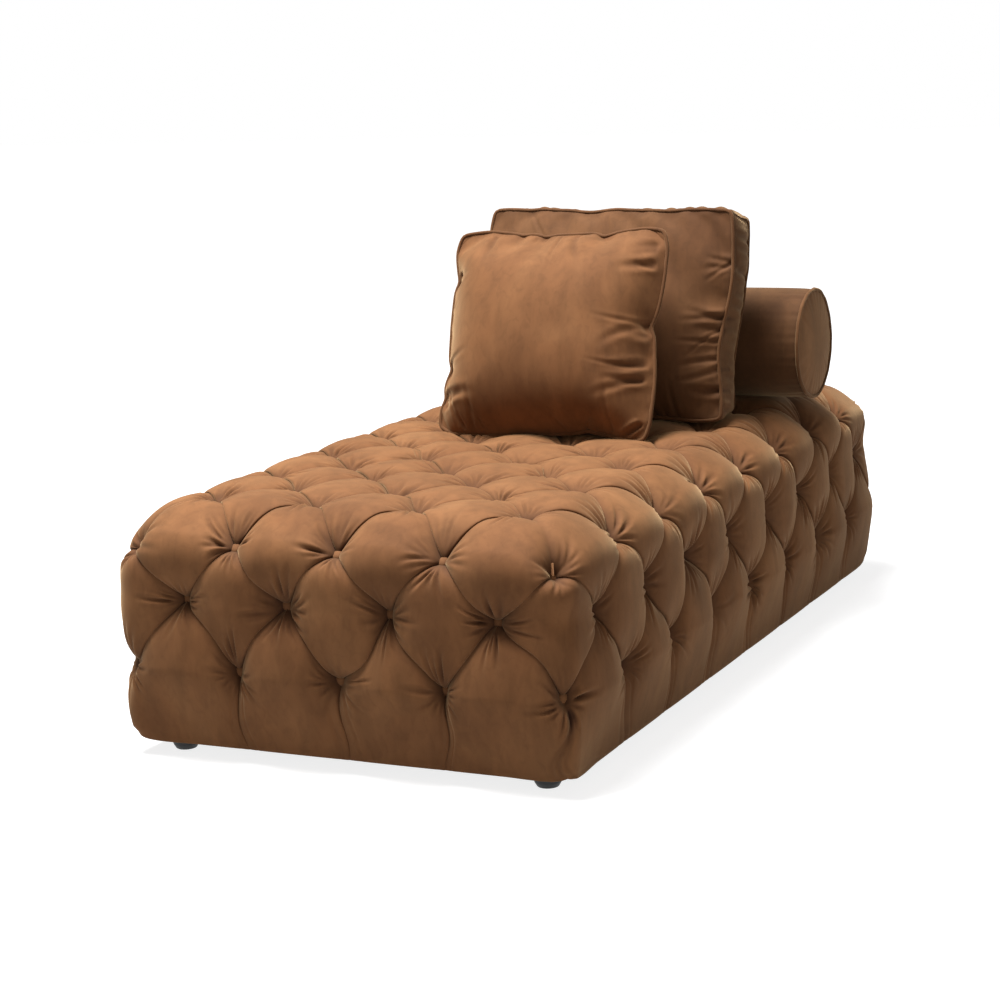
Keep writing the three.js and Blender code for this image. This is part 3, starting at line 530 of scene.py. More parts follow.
def top_ground(x_pitch, y_pitch):
    """Place and swelling direction on the top, from pitches counted from the front left corner."""
    sign_x = np.sign(x_pitch - pitches_across / 2 + 1e-9)
    sign_y = np.sign(y_pitch - pitches_along / 2 + 1e-9)
    near_x = np.minimum(x_pitch, pitches_across - x_pitch)
    near_y = np.minimum(y_pitch, pitches_along - y_pitch)
    from_x, from_y = np.clip(near_x, 0, corner_reach), np.clip(near_y, 0, corner_reach)
    zero = np.zeros_like(from_x)
    out = profile_out[2]
    along_side, out_side = round_corner(from_y, along_pitch, out, zero)
    along_end, out_end = round_corner(from_x, across_pitch, out, zero)
    _, corner_out = round_corner(zero, across_pitch, out, zero)
    fade_x, fade_y = (1 - 2 * from_x) ** 2, (1 - 2 * from_y) ** 2
    move_x = (
        out_side * fade_x
        + (from_x * across_pitch - along_end) * fade_y
        - corner_out * fade_x * fade_y
    )
    move_y = (
        out_end * fade_y
        + (from_y * along_pitch - along_side) * fade_x
        - corner_out * fade_x * fade_y
    )
    x = -half_across + x_pitch * across_pitch + sign_x * move_x
    y = -half_along + y_pitch * along_pitch + sign_y * move_y
    z = top_button_height - corner_drop(edge_drop(from_x), edge_drop(from_y))
    facing = np.stack([sign_x * edge_turn(from_x), sign_y * edge_turn(from_y), np.ones_like(z)], axis=-1)
    return np.stack([x, y, z], axis=-1), facing / np.linalg.norm(facing, axis=-1, keepdims=True)


# Each face of the body: its outward and along directions in plan, and its length in pitches.
faces_round = {
    "front": ((0, -1), (1, 0), pitches_across),
    "right": ((1, 0), (0, 1), pitches_along),
    "back": ((0, 1), (-1, 0), pitches_across),
    "left": ((-1, 0), (0, -1), pitches_along),
}


def side_ground(face, along, depth):
    """Place and swelling direction on a face, from pitches along it and the depth."""
    outward, forward, length = faces_round[face]
    outward, forward = np.array(outward, float), np.array(forward, float)
    is_end = face in ("front", "back")
    pitch = across_pitch if is_end else along_pitch
    half_length, half_other = (half_across, half_along) if is_end else (half_along, half_across)
    near = np.minimum(along, length - along)
    # Beyond its own corner a point belongs to the next face.
    distance = np.clip(near, 0, corner_reach)
    low = np.maximum(depth, 0)
    out = smooth_through(np.clip(low, 0, hem_depth), profile_depth, profile_out)
    at_corner = edge_turn(distance)
    sign = np.where(along < length / 2, -1.0, 1.0)
    at_front = (sign * half_length * forward[1] + half_other * outward[1]) < 0
    flare = corner_flare * smooth_step(flare_from, flare_to, low)
    flare = np.where(at_front, flare, -back_corner_draw * smooth_step(0, draw_to, low))
    out = out + flare * at_corner - corner_tuck * at_corner**2 * smooth_step(tuck_from, hem_depth, low)
    inwards, outwards = round_corner(distance, pitch, out, low)
    run = np.where(near < corner_reach, half_length - inwards, half_length - near * pitch) * sign
    drop = corner_drop(edge_drop(0.0), edge_drop(distance)) - edge_drop(0.0)
    lift = corner_lift * at_corner**3 * smooth_step(lift_from, hem_depth, low)
    z = smooth_through(np.clip(low, 0, hem_depth), profile_depth, profile_height)
    z = z - drop * (1 - smooth_step(0, 0.5, low)) + lift
    plan = run[..., None] * forward + (half_other + outwards)[..., None] * outward
    facing_plan = outward + (sign * edge_turn(distance))[..., None] * forward
    place = np.concatenate([plan, z[..., None]], axis=-1)
    facing = np.concatenate([facing_plan, edge_turn(low)[..., None]], axis=-1)
    facing = facing / np.linalg.norm(facing, axis=-1, keepdims=True)

    # Where the depth is below 0, the place lies on the top.
    flat_along, flat_out = along * pitch, depth * (along_pitch if is_end else across_pitch)
    corner = -half_length * forward + half_other * outward
    plan_top = corner + flat_along[..., None] * forward + flat_out[..., None] * outward
    top_place, top_facing = top_ground(
        (plan_top[..., 0] + half_across) / across_pitch,
        (plan_top[..., 1] + half_along) / along_pitch,
    )
    on_top = (depth < 0)[..., None]
    return np.where(on_top, top_place, place), np.where(on_top, top_facing, facing)


for depth in (-0.5, 0.0, 0.5, 1.0):
    place, facing = side_ground("front", np.array([1.0]), np.array([depth]))
    print("depth", depth, "place", np.round(place[0], 3), "facing", np.round(facing[0], 2))


# %% One chart for the walls
wall_faces = []
wall_length = 0
for face in ("front", "right", "back", "left"):
    wall_faces.append((face, wall_length, wall_length + faces_round[face][2]))
    wall_length += faces_round[face][2]


def wall_ground(round_pitch, depth):
    """Place and swelling direction from pitches round the body, counted from the front left corner."""
    # Rounded, since a hair below 0 would otherwise give the full length, which is on no face.
    around = np.mod(np.round(round_pitch, 9), wall_length)
    place, facing = np.zeros((*around.shape, 3)), np.zeros((*around.shape, 3))
    for face, start, end in wall_faces:
        here = (around >= start) & (around < end)
        if here.any():
            place[here], facing[here] = side_ground(face, around[here] - start, depth[here])
    return place, facing


print("pitches round the body:", wall_length)

# %% [markdown]
# ## How a puff swells
#
# A puff is a cushion of foam between four buttons. Its height is 0 at a button, two thirds of the full
# height along the folds that join the buttons, and full in the middle. Powers of sines give that shape with
# one number for each feature. Near a fold both sides are pushed the same way, so that one puff hangs over
# its neighbour as a real pleat does, and short creases run out from each button like rays. How deep and how
# long they are is drawn from a seeded generator.

# %% Sizes of the puffs
open_puff, pressed_puff, back_puff = 33 * mm, 28 * mm, 42 * mm
pressed_from, pressed_to, pressed_blend = -190 * mm, 380 * mm, 60 * mm
edge_puff, left_edge_puff = 41 * mm, 30 * mm
# The slack corner at the back right: its place round the body, how much flatter it is, and its reach.
slack_corner, slack_share, slack_reach = 12, 0.85, 1.0
side_puff = 41 * mm
left_corner_puff, right_corner_puff = 41 * mm, 20 * mm
hem_fade_depth = np.array([1.0, 1.19, 1.39, 1.58])
hem_fade_share = np.array([1.0, 0.66, 0.32, 0.05])
corner_starts = (0, 4, 12, 16)
corner_pillow = 0.35
fold_share = 0.66
fold_power = 0.85
puff_power = 0.75
pleat_depth = 7.5 * mm
pleat_line_width = 2.6 * mm
pleat_shift = 4.5 * mm
pleat_width = 6 * mm
diamond_side = 148 * mm
sway = 0.045
# Waves count their turns round the body, so that they close where the walls' chart closes.
once_round = 2 * math.pi / wall_length
strength_turns, strength_down = 49, 78.2
# Painted shade: how much darker the velvet is painted in creases and in the wells round the buttons.
crease_shade = 0.08 / mm
button_sink, sink_width = 5 * mm, 15 * mm
well_shade, well_width = 1.0, 18 * mm
crease_ridge = 0.3
crease_from, crease_full = 9 * mm, 30 * mm
crease_reach = (30 * mm, 90 * mm)
crease_depth = (4.5 * mm, 11 * mm)
crease_strength = (0.35, 1.0)
crease_width, crease_spread = 1.5 * mm, 0.042
crease_bend, crease_stray = 0.12, 0.07
bend_from, bend_full = 15 * mm, 100 * mm


def top_swell(x_pitch, y_pitch):
    """The full height of the puffs on the top. Those under the loose cushions are pressed."""
    y = -half_along + y_pitch * along_pitch
    pressed = smooth_step(pressed_from, pressed_from + pressed_blend, y)
    pressed = pressed * (1 - smooth_step(pressed_to - pressed_blend, pressed_to, y))
    loose_puff = open_puff + (back_puff - open_puff) * smooth_step(pressed_from, pressed_to, y)
    inner = loose_puff + (pressed_puff - loose_puff) * pressed
    near_y = np.minimum(y_pitch, pitches_along - y_pitch)
    near = np.minimum(np.minimum(x_pitch, pitches_across - x_pitch), near_y)
    edge = edge_puff + (left_edge_puff - edge_puff) * smooth_step(0, 0.5, near_y - x_pitch)
    swell = inner + (edge - inner) * (1 - smooth_step(0, 0.5, near))
    to_slack = np.hypot(pitches_across - x_pitch, pitches_along - y_pitch)
    return swell * (1 - slack_share * np.exp(-((to_slack / slack_reach) ** 2)))


def top_pitches(round_pitch, depth):
    """The pitches on the top's own chart of a place that the walls' chart has above its depth 0."""
    around = np.mod(round_pitch, wall_length)
    x_pitch, y_pitch = np.zeros(np.shape(around)), np.zeros(np.shape(around))
    for face, start, end in wall_faces:
        outward, forward, length = faces_round[face]
        here = (around >= start) & (around <= end)
        run = around - start - length / 2
        out = depth + (pitches_along + pitches_across - length) / 2
        x_pitch = np.where(here, pitches_across / 2 + run * forward[0] + out * outward[0], x_pitch)
        y_pitch = np.where(here, pitches_along / 2 + run * forward[1] + out * outward[1], y_pitch)
    return x_pitch, y_pitch


def wall_swell(round_pitch, depth):
    """The full height of the puffs on the walls, greatest at the edge and round the corners."""
    around = np.mod(round_pitch, wall_length)
    left_start = wall_faces[-1][1]
    on_left = smooth_step(0, 0.5, np.minimum(around - left_start, wall_length - around))
    edge = edge_puff + (left_edge_puff - edge_puff) * on_left
    swell = side_puff + (edge - side_puff) * (1 - smooth_step(0, 0.5, depth))
    swell = swell * np.interp(depth, hem_fade_depth, hem_fade_share)
    for _, start, _ in wall_faces:
        gap_round = np.abs(np.mod(around - start + wall_length / 2, wall_length) - wall_length / 2)
        beside = (1 - smooth_step(0, 0.5, gap_round)) * (1 - smooth_step(0, 0.5, np.abs(depth - 0.5)))
        at_right = start in (pitches_across, pitches_across + pitches_along)
        corner_puff = right_corner_puff if at_right else left_corner_puff
        swell = swell + (corner_puff - side_puff) * beside
    on_top = depth < 0
    if on_top.any():
        swell[on_top] = top_swell(*top_pitches(around[on_top], depth[on_top]))
    beside_slack = np.exp(-((np.hypot(around - slack_corner, np.maximum(depth, 0)) / slack_reach) ** 2))
    return swell * np.where(depth < 0, 1, 1 - slack_share * beside_slack)


def ray_creases(x, y, angle, sector, random, count=5):
    """The depth of the creases that run out from a button at x, y = 0, inside a sector of the plane."""
    distance = np.hypot(x, y)
    depth = np.zeros_like(distance)
    share = np.clip(angle / sector, 0, 1)
    strength = random.uniform(*crease_strength)
    for i in range(count):
        middle = (i + 1) / (count + 1) + random.uniform(-crease_stray, crease_stray)
        reach = random.uniform(*crease_reach)
        deep = strength * random.uniform(*crease_depth)
        bend = random.uniform(-crease_bend, crease_bend) * smooth_step(bend_from, bend_full, distance)
        width = crease_width + crease_spread * distance
        offset = (share - middle - bend) * sector * distance / width
        along = smooth_step(crease_from, crease_full, distance)
        along = along * (1 - smooth_step(reach / 4, reach, distance))
        ridges = crease_ridge * np.exp(-((np.abs(offset) - 2) ** 2))
        depth += deep * (np.exp(-offset * offset) - ridges) * along
    return depth * np.sqrt(np.sin(math.pi * share))


def fold_strength(first, second):
    """How sharp the fold with its middle at a lattice place is: a number from 0 to 1 that never changes."""
    return 0.5 + 0.5 * math.sin(strength_turns * once_round * first + strength_down * second)


def wall_fold_strength(round_pitch, depth):
    """The same on the walls' chart. A fold above its depth 0 lies on the top and keeps the top's number."""
    if depth < 0:
        round_pitch, depth = top_pitches(round_pitch, depth)
    return fold_strength(round_pitch, depth)


def pleat_push(distance):
    """How far the cloth beside a fold is pushed across it, at a distance from the fold."""
    return pleat_shift * distance / pleat_width * np.exp(1 - distance / pleat_width)


def swayed(first, second, room):
    """Lattice places moved a little, so that folds bend. Buttons and places without room don't move."""
    turn = once_round * first
    wave_first = np.sin(9 * turn + 1.7 * second + 1.0) + 0.6 * np.sin(19 * turn - 3.7 * second)
    wave_second = np.sin(1.9 * second - 8 * turn + 2.0) + 0.6 * np.sin(4.3 * second + 23 * turn)
    first_moved = first + sway * room * np.sin(2 * math.pi * first) * wave_first
    second_moved = second + sway * room * np.sin(2 * math.pi * second) * wave_second
    return first_moved, second_moved


# The grid of a puff is finest at its folds: how far from a fold, and how wide a step is there.
grid_distance = np.array([0, 12, 40]) * mm
grid_step = np.array([1.2, 2.4, 3.0, 4.5]) * mm


def graded_shares(length, count):
    """Shares from 0 to 1 along a length, close together near both ends and far apart in the middle."""
    distance = np.linspace(0, length / 2, 600)
    step = np.interp(distance, [*grid_distance, length / 2], grid_step)
    steps = np.concatenate([[0], np.cumsum(np.diff(distance) / step[1:])])
    half = np.interp(np.linspace(0, 1, count // 2 + 1), steps / steps[-1], distance) / length
    return np.concatenate([half, 1 - half[-2::-1]])


puff_steps = 56
puff_shares = graded_shares(diamond_side, puff_steps)
print("steps along a fold:", puff_steps, "finest", round(puff_shares[1] * diamond_side / mm, 2), "mm")

# %% A puff between four buttons
keep_least, keep_more = 0.25, 0.6
fullness_least = 0.9
# Painted shade along the folds between puffs.
fold_shade = 0.75
diamond_edges = {
    "first": ((-0.5, -0.5), (0, 0)),
    "last": ((0.5, 0.5), (0, 1)),
    "left": ((-0.5, 0.5), (0, 0)),
    "right": ((0.5, -0.5), (1, 0)),
}


def top_rank(centre):
    """A puff hangs over its neighbours of lower rank. On the top the rank falls towards the edges."""
    near_x = min(centre[0], pitches_across - centre[0])
    near_y = min(centre[1], pitches_along - centre[1])
    return min(near_x, near_y) + 0.01 * (near_x - near_y)


def wall_rank(centre):
    """On the walls the rank falls towards the hem."""
    return -centre[1]


def top_room(first, second):
    """How freely folds may bend on the top: fully in its middle, and not at all near the walls."""
    near = np.minimum(
        np.minimum(first, pitches_across - first),
        np.minimum(second, pitches_along - second),
    )
    return np.clip(2 * near - 1, 0, 1)


def wall_room(_, depth):
    """The same on the walls: folds may bend below the high row of buttons."""
    return np.clip(2 * depth, 0, 1)


def push_share(share):
    """How far the cloth at a share of a diamond's side is pushed, as a share of that side."""
    return pleat_push(share * diamond_side) / diamond_side


def beside_buttons(to_button):
    """How deep the cloth is pulled in at a distance from a button."""
    return button_sink * np.exp(-((to_button / sink_width) ** 2))


def fold_line(along, keep):
    """How deep a fold is cut along its length: fully at its buttons, and by a kept share in its middle."""
    along = along.clip(0)
    return (1 - (1 - keep) * along**2) * along**0.3


def make_puff(ground, swell, rank, room, strength, centre, random):
    """Points, painted shade and quads of the puff round a centre of the lattice."""
    p, q = np.meshgrid(puff_shares, puff_shares, indexing="ij")
    fold_p, fold_q = np.sin(math.pi * p), np.sin(math.pi * q)
    over = {
        name: 1.0 if rank(centre) > rank((centre[0] + step[0], centre[1] + step[1])) else -1.0
        for name, (step, _) in diamond_edges.items()
    }
    along_p, along_q = np.sqrt(np.clip(fold_p, 0, 1)), np.sqrt(np.clip(fold_q, 0, 1))
    moved_q = q + along_p * (over["last"] * push_share(1 - q) - over["first"] * push_share(q))
    moved_p = p + along_q * (over["right"] * push_share(1 - p) - over["left"] * push_share(p))
    first = centre[0] - 0.5 + 0.5 * (moved_p + moved_q)
    second = centre[1] + 0.5 * (moved_q - moved_p)
    place, facing = ground(*swayed(first, second, room(first, second)))

    edge_p, edge_q = fold_p.clip(0) ** fold_power, fold_q.clip(0) ** fold_power
    folds = fold_share * (edge_p + edge_q - edge_p * edge_q)
    fullness = random.uniform(fullness_least, 1.0)
    pillow = (1 - fold_share) * fullness * (fold_p * fold_q).clip(0) ** puff_power
    flat_first = centre[0] - 0.5 + 0.5 * (p + q)
    flat_second = centre[1] + 0.5 * (q - p)
    height = swell(flat_first, flat_second) * (folds + pillow)
    sharpness = np.zeros_like(p)
    for share, along, step in (
        (p, fold_q, (-0.25, 0.25)), (1 - p, fold_q, (0.25, -0.25)),
        (q, fold_p, (-0.25, -0.25)), (1 - q, fold_p, (0.25, 0.25)),
    ):
        keep = keep_least + keep_more * strength(centre[0] + step[0], centre[1] + step[1])
        beside_fold = fold_line(along, keep) * np.exp(-share * diamond_side / pleat_line_width)
        height = height - pleat_depth * beside_fold
        sharpness = np.maximum(sharpness, beside_fold)
    creases = np.zeros_like(p)
    for near_p in (p, 1 - p):
        for near_q in (q, 1 - q):
            x, y = near_p * diamond_side, near_q * diamond_side
            creases += ray_creases(x, y, np.arctan2(y, x), math.pi / 2, random)
    height = height - creases
    to_button = np.hypot(np.minimum(p, 1 - p), np.minimum(q, 1 - q)) * diamond_side
    height = np.maximum(height, 0) - beside_buttons(to_button)
    # Painted shade: darker along the folds, in the wells round the buttons and in the creases.
    fold = fold_shade * sharpness + well_shade * np.exp(-to_button / well_width) + crease_shade * creases
    points = place + facing * height[..., None]
    return points.reshape(-1, 3), fold.clip(0, 1).ravel(), grid_faces(*p.shape)


print("a puff has", puff_steps**2, "quads")

# %% [markdown]
# ## The panels down to the hem
#
# Below the lowest buttons there are no more diamonds. The cloth hangs in upright pleats, and between two
# pleats lies one panel: its top follows the two folds of the diamonds above, and its foot is the straight
# hem, which turns under and is stapled to the frame. The same ground and the same rules for folds serve
# here, so the panels meet the diamonds point for point.

# %% A panel between two pleats
panel_rows = 44
panel_evenness = 0.35
panel_rise = 22 * mm
panel_power = 0.45
pleat_line_share = 0.42
pleat_line_rise = 15 * mm
pitch_down = 240 * mm
pleat_sway = 0.09
# A second, softer fold runs beside each pleat, and the pleat itself is sharp near its button.
pleat_hang = 30 * mm
second_fold_place, second_fold_spread = 11 * mm, 0.05
second_fold_width, second_fold_depth, second_fold_fall = 3.6 * mm, 4 * mm, 75 * mm
sharp_pleat_width, sharp_pleat_depth, sharp_pleat_fall = 4 * mm, 5 * mm, 90 * mm
# Painted shade along each pleat, fading towards the hem.
pleat_shade_width, pleat_shade_least, pleat_shade_fall = 2.4 * mm, 0.2, 60 * mm
pleat_turns, pleat_wave = 7, 9
low_creases, low_sector = 7, 0.75 * math.pi
hem_turn = [(0.6 * mm, -0.8 * mm), (2.2 * mm, -1.8 * mm), (7 * mm, -2.2 * mm)]
inner_wall_inset = 7.5 * mm
inner_wall_rows = [27 * mm, 409.4 * mm]


def panel_shares():
    """Shares from the top of a panel to the hem, closest together at the top."""
    steps = np.linspace(0, 1, panel_rows + 1)
    return panel_evenness * steps + (1 - panel_evenness) * steps**2


folded_corners = (4, 12, 16)
corner_folds = [(-17 * mm, 5 * mm), (-3 * mm, 7 * mm), (13 * mm, 5.5 * mm)]
corner_fold_width, corner_fold_bend, corner_fold_fall = 4.5 * mm, 7 * mm, 140 * mm
corner_fold_from, corner_fold_full, corner_fold_spread = 6 * mm, 35 * mm, 0.7


def corner_fold_depth(beside, below):
    """The folds that fall in an S from the low button of a corner, spread out a little at the hem."""
    depth = np.zeros_like(beside)
    share = (below / corner_fold_fall).clip(0, 1)
    for at_hem, deep in corner_folds:
        line = at_hem * share + corner_fold_bend * np.sin(2 * math.pi * share)
        depth += deep * np.exp(-(((beside - line) / corner_fold_width) ** 2))
    return depth * smooth_step(corner_fold_from, corner_fold_full, below) * (1 - corner_fold_spread * share)


def pleat_cut(to_pleat, from_low):
    """How deep a pleat, and the softer fold beside it, cut into a panel."""
    sharp = sharp_pleat_depth * np.exp(-to_pleat / sharp_pleat_width) * np.exp(-from_low / sharp_pleat_fall)
    beside = (to_pleat - second_fold_place - second_fold_spread * from_low) / second_fold_width
    return sharp + second_fold_depth * np.exp(-beside**2) * np.exp(-from_low / second_fold_fall)


def panel_creases(p, depth, start, random):
    """The depth of a panel's creases: below its two low buttons and its high one, and at folded corners."""
    creases = np.zeros_like(p)
    for share in (p, 1 - p):
        x, y = share * across_pitch, (depth - 1) * pitch_down
        creases += ray_creases(x, y, np.arctan2(share, depth - 1), low_sector, random, low_creases)
    from_low = np.maximum(depth - 1, 0) * pitch_down
    if start % wall_length in folded_corners:
        creases += corner_fold_depth(p * across_pitch, from_low)
    if (start + 1) % wall_length in folded_corners:
        creases += corner_fold_depth(-(1 - p) * across_pitch, from_low)
    x, y = (p - 0.5) * across_pitch, (depth - 0.5) * pitch_down
    angle = np.arctan2(p - 0.5, depth - 0.5) + math.pi / 4
    return creases + ray_creases(x, y, angle, math.pi / 2, random)


def inner_wall(round_pitch):
    """Plan of the straight wall inside the cover, just outside the boards that it is stapled to."""
    plan = np.zeros((len(round_pitch), 2))
    around = np.mod(round_pitch, wall_length)
    for face, start, end in wall_faces:
        outward, forward, length = faces_round[face]
        is_end = face in ("front", "back")
        half_length, half_other = (half_across, half_along) if is_end else (half_along, half_across)
        here = (around >= start) & (around < end)
        share = (around[here] - start) / length
        run = (2 * share - 1) * (half_length - inner_wall_inset)
        plan[here] = run[:, None] * np.array(forward) + (half_other - inner_wall_inset) * np.array(outward)
    return plan


def with_hem(points, outward, round_pitch):
    """The points of a panel, with its hem turned under and a straight wall inside it."""
    hem_points = points[-1]
    rows = [points]
    for inset, rise in hem_turn:
        turned = hem_points - outward * inset
        turned[:, 2] = hem_points[:, 2] + rise
        rows.append(turned[None])
    plan = inner_wall(round_pitch)
    for height in inner_wall_rows:
        rows.append(np.concatenate([plan, np.full((len(plan), 1), height)], axis=1)[None])
    return np.concatenate(rows)


def make_panel(start, random):
    """Points, painted shade and quads of the panel between the low buttons at start and start + 1."""
    across = np.concatenate([puff_shares / 2, 0.5 + puff_shares[1:] / 2])
    down, p = np.meshgrid(panel_shares(), across, indexing="ij")
    top_depth = 1 - 0.5 * (1 - np.abs(2 * p - 1))
    depth = top_depth + down * (hem_depth - top_depth)
    from_fold = (depth - top_depth) * pitch_down * math.sqrt(0.5)
    from_low = np.maximum(depth - 1, 0) * pitch_down

    fold_along = np.abs(np.sin(2 * math.pi * p))
    push = np.sqrt(fold_along) * pleat_push(from_fold) / diamond_side
    side = np.where(p < 0.5, 1.0, -1.0)
    hang = 1 - np.exp(-from_low / pleat_hang)
    to_left, to_right = p * across_pitch, (1 - p) * across_pitch
    at_corners = [at % wall_length in corner_starts for at in (start, start + 1)]
    left_pleat, right_pleat = (0.0 if at_corner else 1.0 for at_corner in at_corners)
    pleat = hang * (left_pleat * pleat_push(to_left) + right_pleat * pleat_push(to_right)) / across_pitch
    round_pitch = start + p + side * push / 2 + pleat
    moved_depth = np.minimum(depth + push / 2, hem_depth)
    above, below = np.minimum(moved_depth, 1.0), np.maximum(moved_depth - 1.0, 0)
    round_pitch, above = swayed(round_pitch, above, wall_room(round_pitch, above))
    bend = np.sin(pleat_wave * below + pleat_turns * once_round * (start + p))
    round_pitch = round_pitch + pleat_sway * bend * below
    place, facing = wall_ground(round_pitch, above + below)

    rise = 1 - np.exp(-from_fold / panel_rise)
    line = pleat_line_share * (1 - np.exp(-from_low / pleat_line_rise))
    pleated = np.where(p < 0.5, left_pleat, right_pleat)
    wave = np.sin(math.pi * p).clip(0)
    smooth_corner = corner_pillow + (1 - corner_pillow) * wave
    pillow = pleated * wave**panel_power + (1 - pleated) * smooth_corner
    shape = fold_share * fold_along**fold_power * (1 - rise) + rise * (line + (1 - line) * pillow)
    height = wall_swell(start + p, depth) * shape
    left_keep = keep_least + keep_more * fold_strength(start + 0.25, 0.75)
    right_keep = keep_least + keep_more * fold_strength(start + 0.75, 0.75)
    keep = np.where(p < 0.5, left_keep, right_keep)
    beside_fold = fold_line(fold_along, keep) * np.exp(-from_fold / pleat_line_width)
    height = height - pleat_depth * beside_fold
    height = height - left_pleat * hang * pleat_cut(to_left, from_low)
    height = height - right_pleat * hang * pleat_cut(to_right, from_low)
    creases = panel_creases(p, depth, start, random)
    to_pleat = np.minimum(to_left, to_right)
    to_low = np.hypot(np.minimum(p, 1 - p), depth - 1)
    to_button = np.minimum(to_low, np.hypot(p - 0.5, depth - 0.5)) * math.sqrt(2) * diamond_side
    height = np.maximum(height - creases, 0) - beside_buttons(to_button)
    points = place + facing * height[..., None]

    # Painted shade: darker along the pleats and folds, round the buttons and in the creases.
    fade = pleat_shade_least + (1 - pleat_shade_least) * np.exp(-from_low / pleat_shade_fall)
    pleat_line = pleated * hang * np.exp(-to_pleat / pleat_shade_width) * fade
    fold = fold_shade * np.maximum(beside_fold, pleat_line) + well_shade * np.exp(-to_button / well_width)
    fold = fold + crease_shade * creases
    points = with_hem(points, facing[-1], start + across)
    fold = np.concatenate([fold, np.zeros((len(points) - len(fold), fold.shape[1]))])
    return points.reshape(-1, 3), fold.clip(0, 1).ravel(), grid_faces(*points.shape[:2])


print("a panel has", panel_rows, "rows")

# %% [markdown]
# ## The whole cover
#
# Now the cover is put together: 64 diamonds on the top and over its edge, 24 round the walls and 24 panels.
# Their shared folds have the same points, so welding them by distance gives one closed skin. It replaces
# the five padded solids of the frame, which have the same lattice with far fewer faces.

# %% The tufted cover
weld_distance = 0.05 * mm


def puff_centres():
    """The centres of all diamonds: which chart each belongs to, and where it is in that chart."""
    centres = []
    for x in range(2 * pitches_across + 1):
        for y in range(2 * pitches_along + 1):
            inside = 0 < x < 2 * pitches_across and 0 < y < 2 * pitches_along
            if inside and (x + y) % 2 == 1:
                centres.append(("top", (x / 2, y / 2)))
    for step in range(wall_length):
        centres.append(("wall", (step + 0.5, 0.0)))
        centres.append(("wall", (float(step), 0.5)))
    return centres


def join_patches(patches):
    """One list of points, values and quads from many."""
    points, values, faces, first = [], [], [], 0
    for patch_points, patch_values, patch_faces in patches:
        points.append(patch_points)
        values.append(patch_values)
        faces.append(patch_faces + first)
        first += len(patch_points)
    return np.concatenate(points), np.concatenate(values), np.concatenate(faces)


def weld(piece, distance):
    """Merges the points of open edges that lie closer than a distance, and closes the loop that is left."""
    mesh = bmesh.new()
    mesh.from_mesh(piece.data)
    edge_points = {v for e in mesh.edges if e.is_boundary for v in e.verts}
    bmesh.ops.remove_doubles(mesh, verts=list(edge_points), dist=distance)
    open_edges = [e for e in mesh.edges if e.is_boundary]
    bmesh.ops.edgeloop_fill(mesh, edges=open_edges)
    bmesh.ops.recalc_face_normals(mesh, faces=list(mesh.faces))
    mesh.to_mesh(piece.data)
    mesh.free()
    return len(open_edges)


charts = {
    "top": (top_ground, top_swell, top_rank, top_room, fold_strength),
    "wall": (wall_ground, wall_swell, wall_rank, wall_room, wall_fold_strength),
}
random = np.random.default_rng(12)
patches = [make_puff(*charts[chart], centre, random) for chart, centre in puff_centres()]
patches += [make_panel(start, random) for start in range(wall_length)]
cover_points, cover_painted_shade, cover_faces = join_patches(patches)
cover = add_mesh("tufted_cover", cover_points, cover_faces, "couch", velvet)
mark_painted_shade(cover, cover_painted_shade)
left_open = weld(cover, weld_distance)
print("cover:", len(patches), "patches,", len(cover.data.vertices), "points")
print("open edges closed by the ceiling:", left_open)
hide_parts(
    "tufted_top", "tufted_front_end", "tufted_back_end", "tufted_left_side", "tufted_right_side",
)

# %% [markdown]
# ## The buttons
#
# Each button is a metal shell covered with the same velvet. It is a shallow dome with a soft rim, pulled
# down into the padding by a twine, so its rim lies below the cloth around it. The domes of one face make one
# piece, which keeps the piece list short and still gives separate buttons.

# %% The covered buttons
button_radius = 11 * mm
button_height = 6.5 * mm
button_lift = 0.5 * mm - button_sink
button_profile = [(1.0, -0.55), (1.04, 0.05), (0.98, 0.42), (0.86, 0.68), (0.66, 0.87), (0.36, 0.98)]
button_segments = 20
button_tilt = 0.05
# How much painted shade a button gets, from its rim, deep in the cloth, to its crown.
button_shades = [1.0, 0.9, 0.6, 0.4, 0.25, 0.15, 0.1]


def button_dome(place, facing, random):
    """Points and faces of one dome at a place, set a little off true as hand-tied buttons are."""
    facing = Vector(facing) + Vector(random.normal(0, button_tilt, 3))
    turn = facing.to_track_quat("Z", "Y").to_matrix()
    points = []
    for radius_share, height_share in button_profile:
        for i in range(button_segments):
            angle = 2 * math.pi * i / button_segments
            local = Vector((
                radius_share * button_radius * math.cos(angle),
                radius_share * button_radius * math.sin(angle),
                height_share * button_height + button_lift,
            ))
            points.append(Vector(place) + turn @ local)
    rings = len(button_profile)
    faces = ring_faces(rings, button_segments)
    points.append(Vector(place) + turn @ Vector((0, 0, button_height + button_lift)))
    crown, last = len(points) - 1, (rings - 1) * button_segments
    faces += [(last + i, last + (i + 1) % button_segments, crown) for i in range(button_segments)]
    faces.append(tuple(range(button_segments))[::-1])
    return points, faces


def button_places():
    """Places and directions of the buttons on the top and on each face."""
    found = {"top": []}
    for x in range(1, 2 * pitches_across):
        for y in range(1, 2 * pitches_along):
            if (x + y) % 2 == 0:
                found["top"].append(top_ground(np.array([x / 2]), np.array([y / 2])))
    for face, start, end in wall_faces:
        found[face] = []
        for along in np.arange(start, end, 0.5):
            depths = (0.0, 1.0) if along % 1 == 0 else (0.5,)
            for depth in depths:
                found[face].append(wall_ground(np.array([along]), np.array([depth])))
    return found


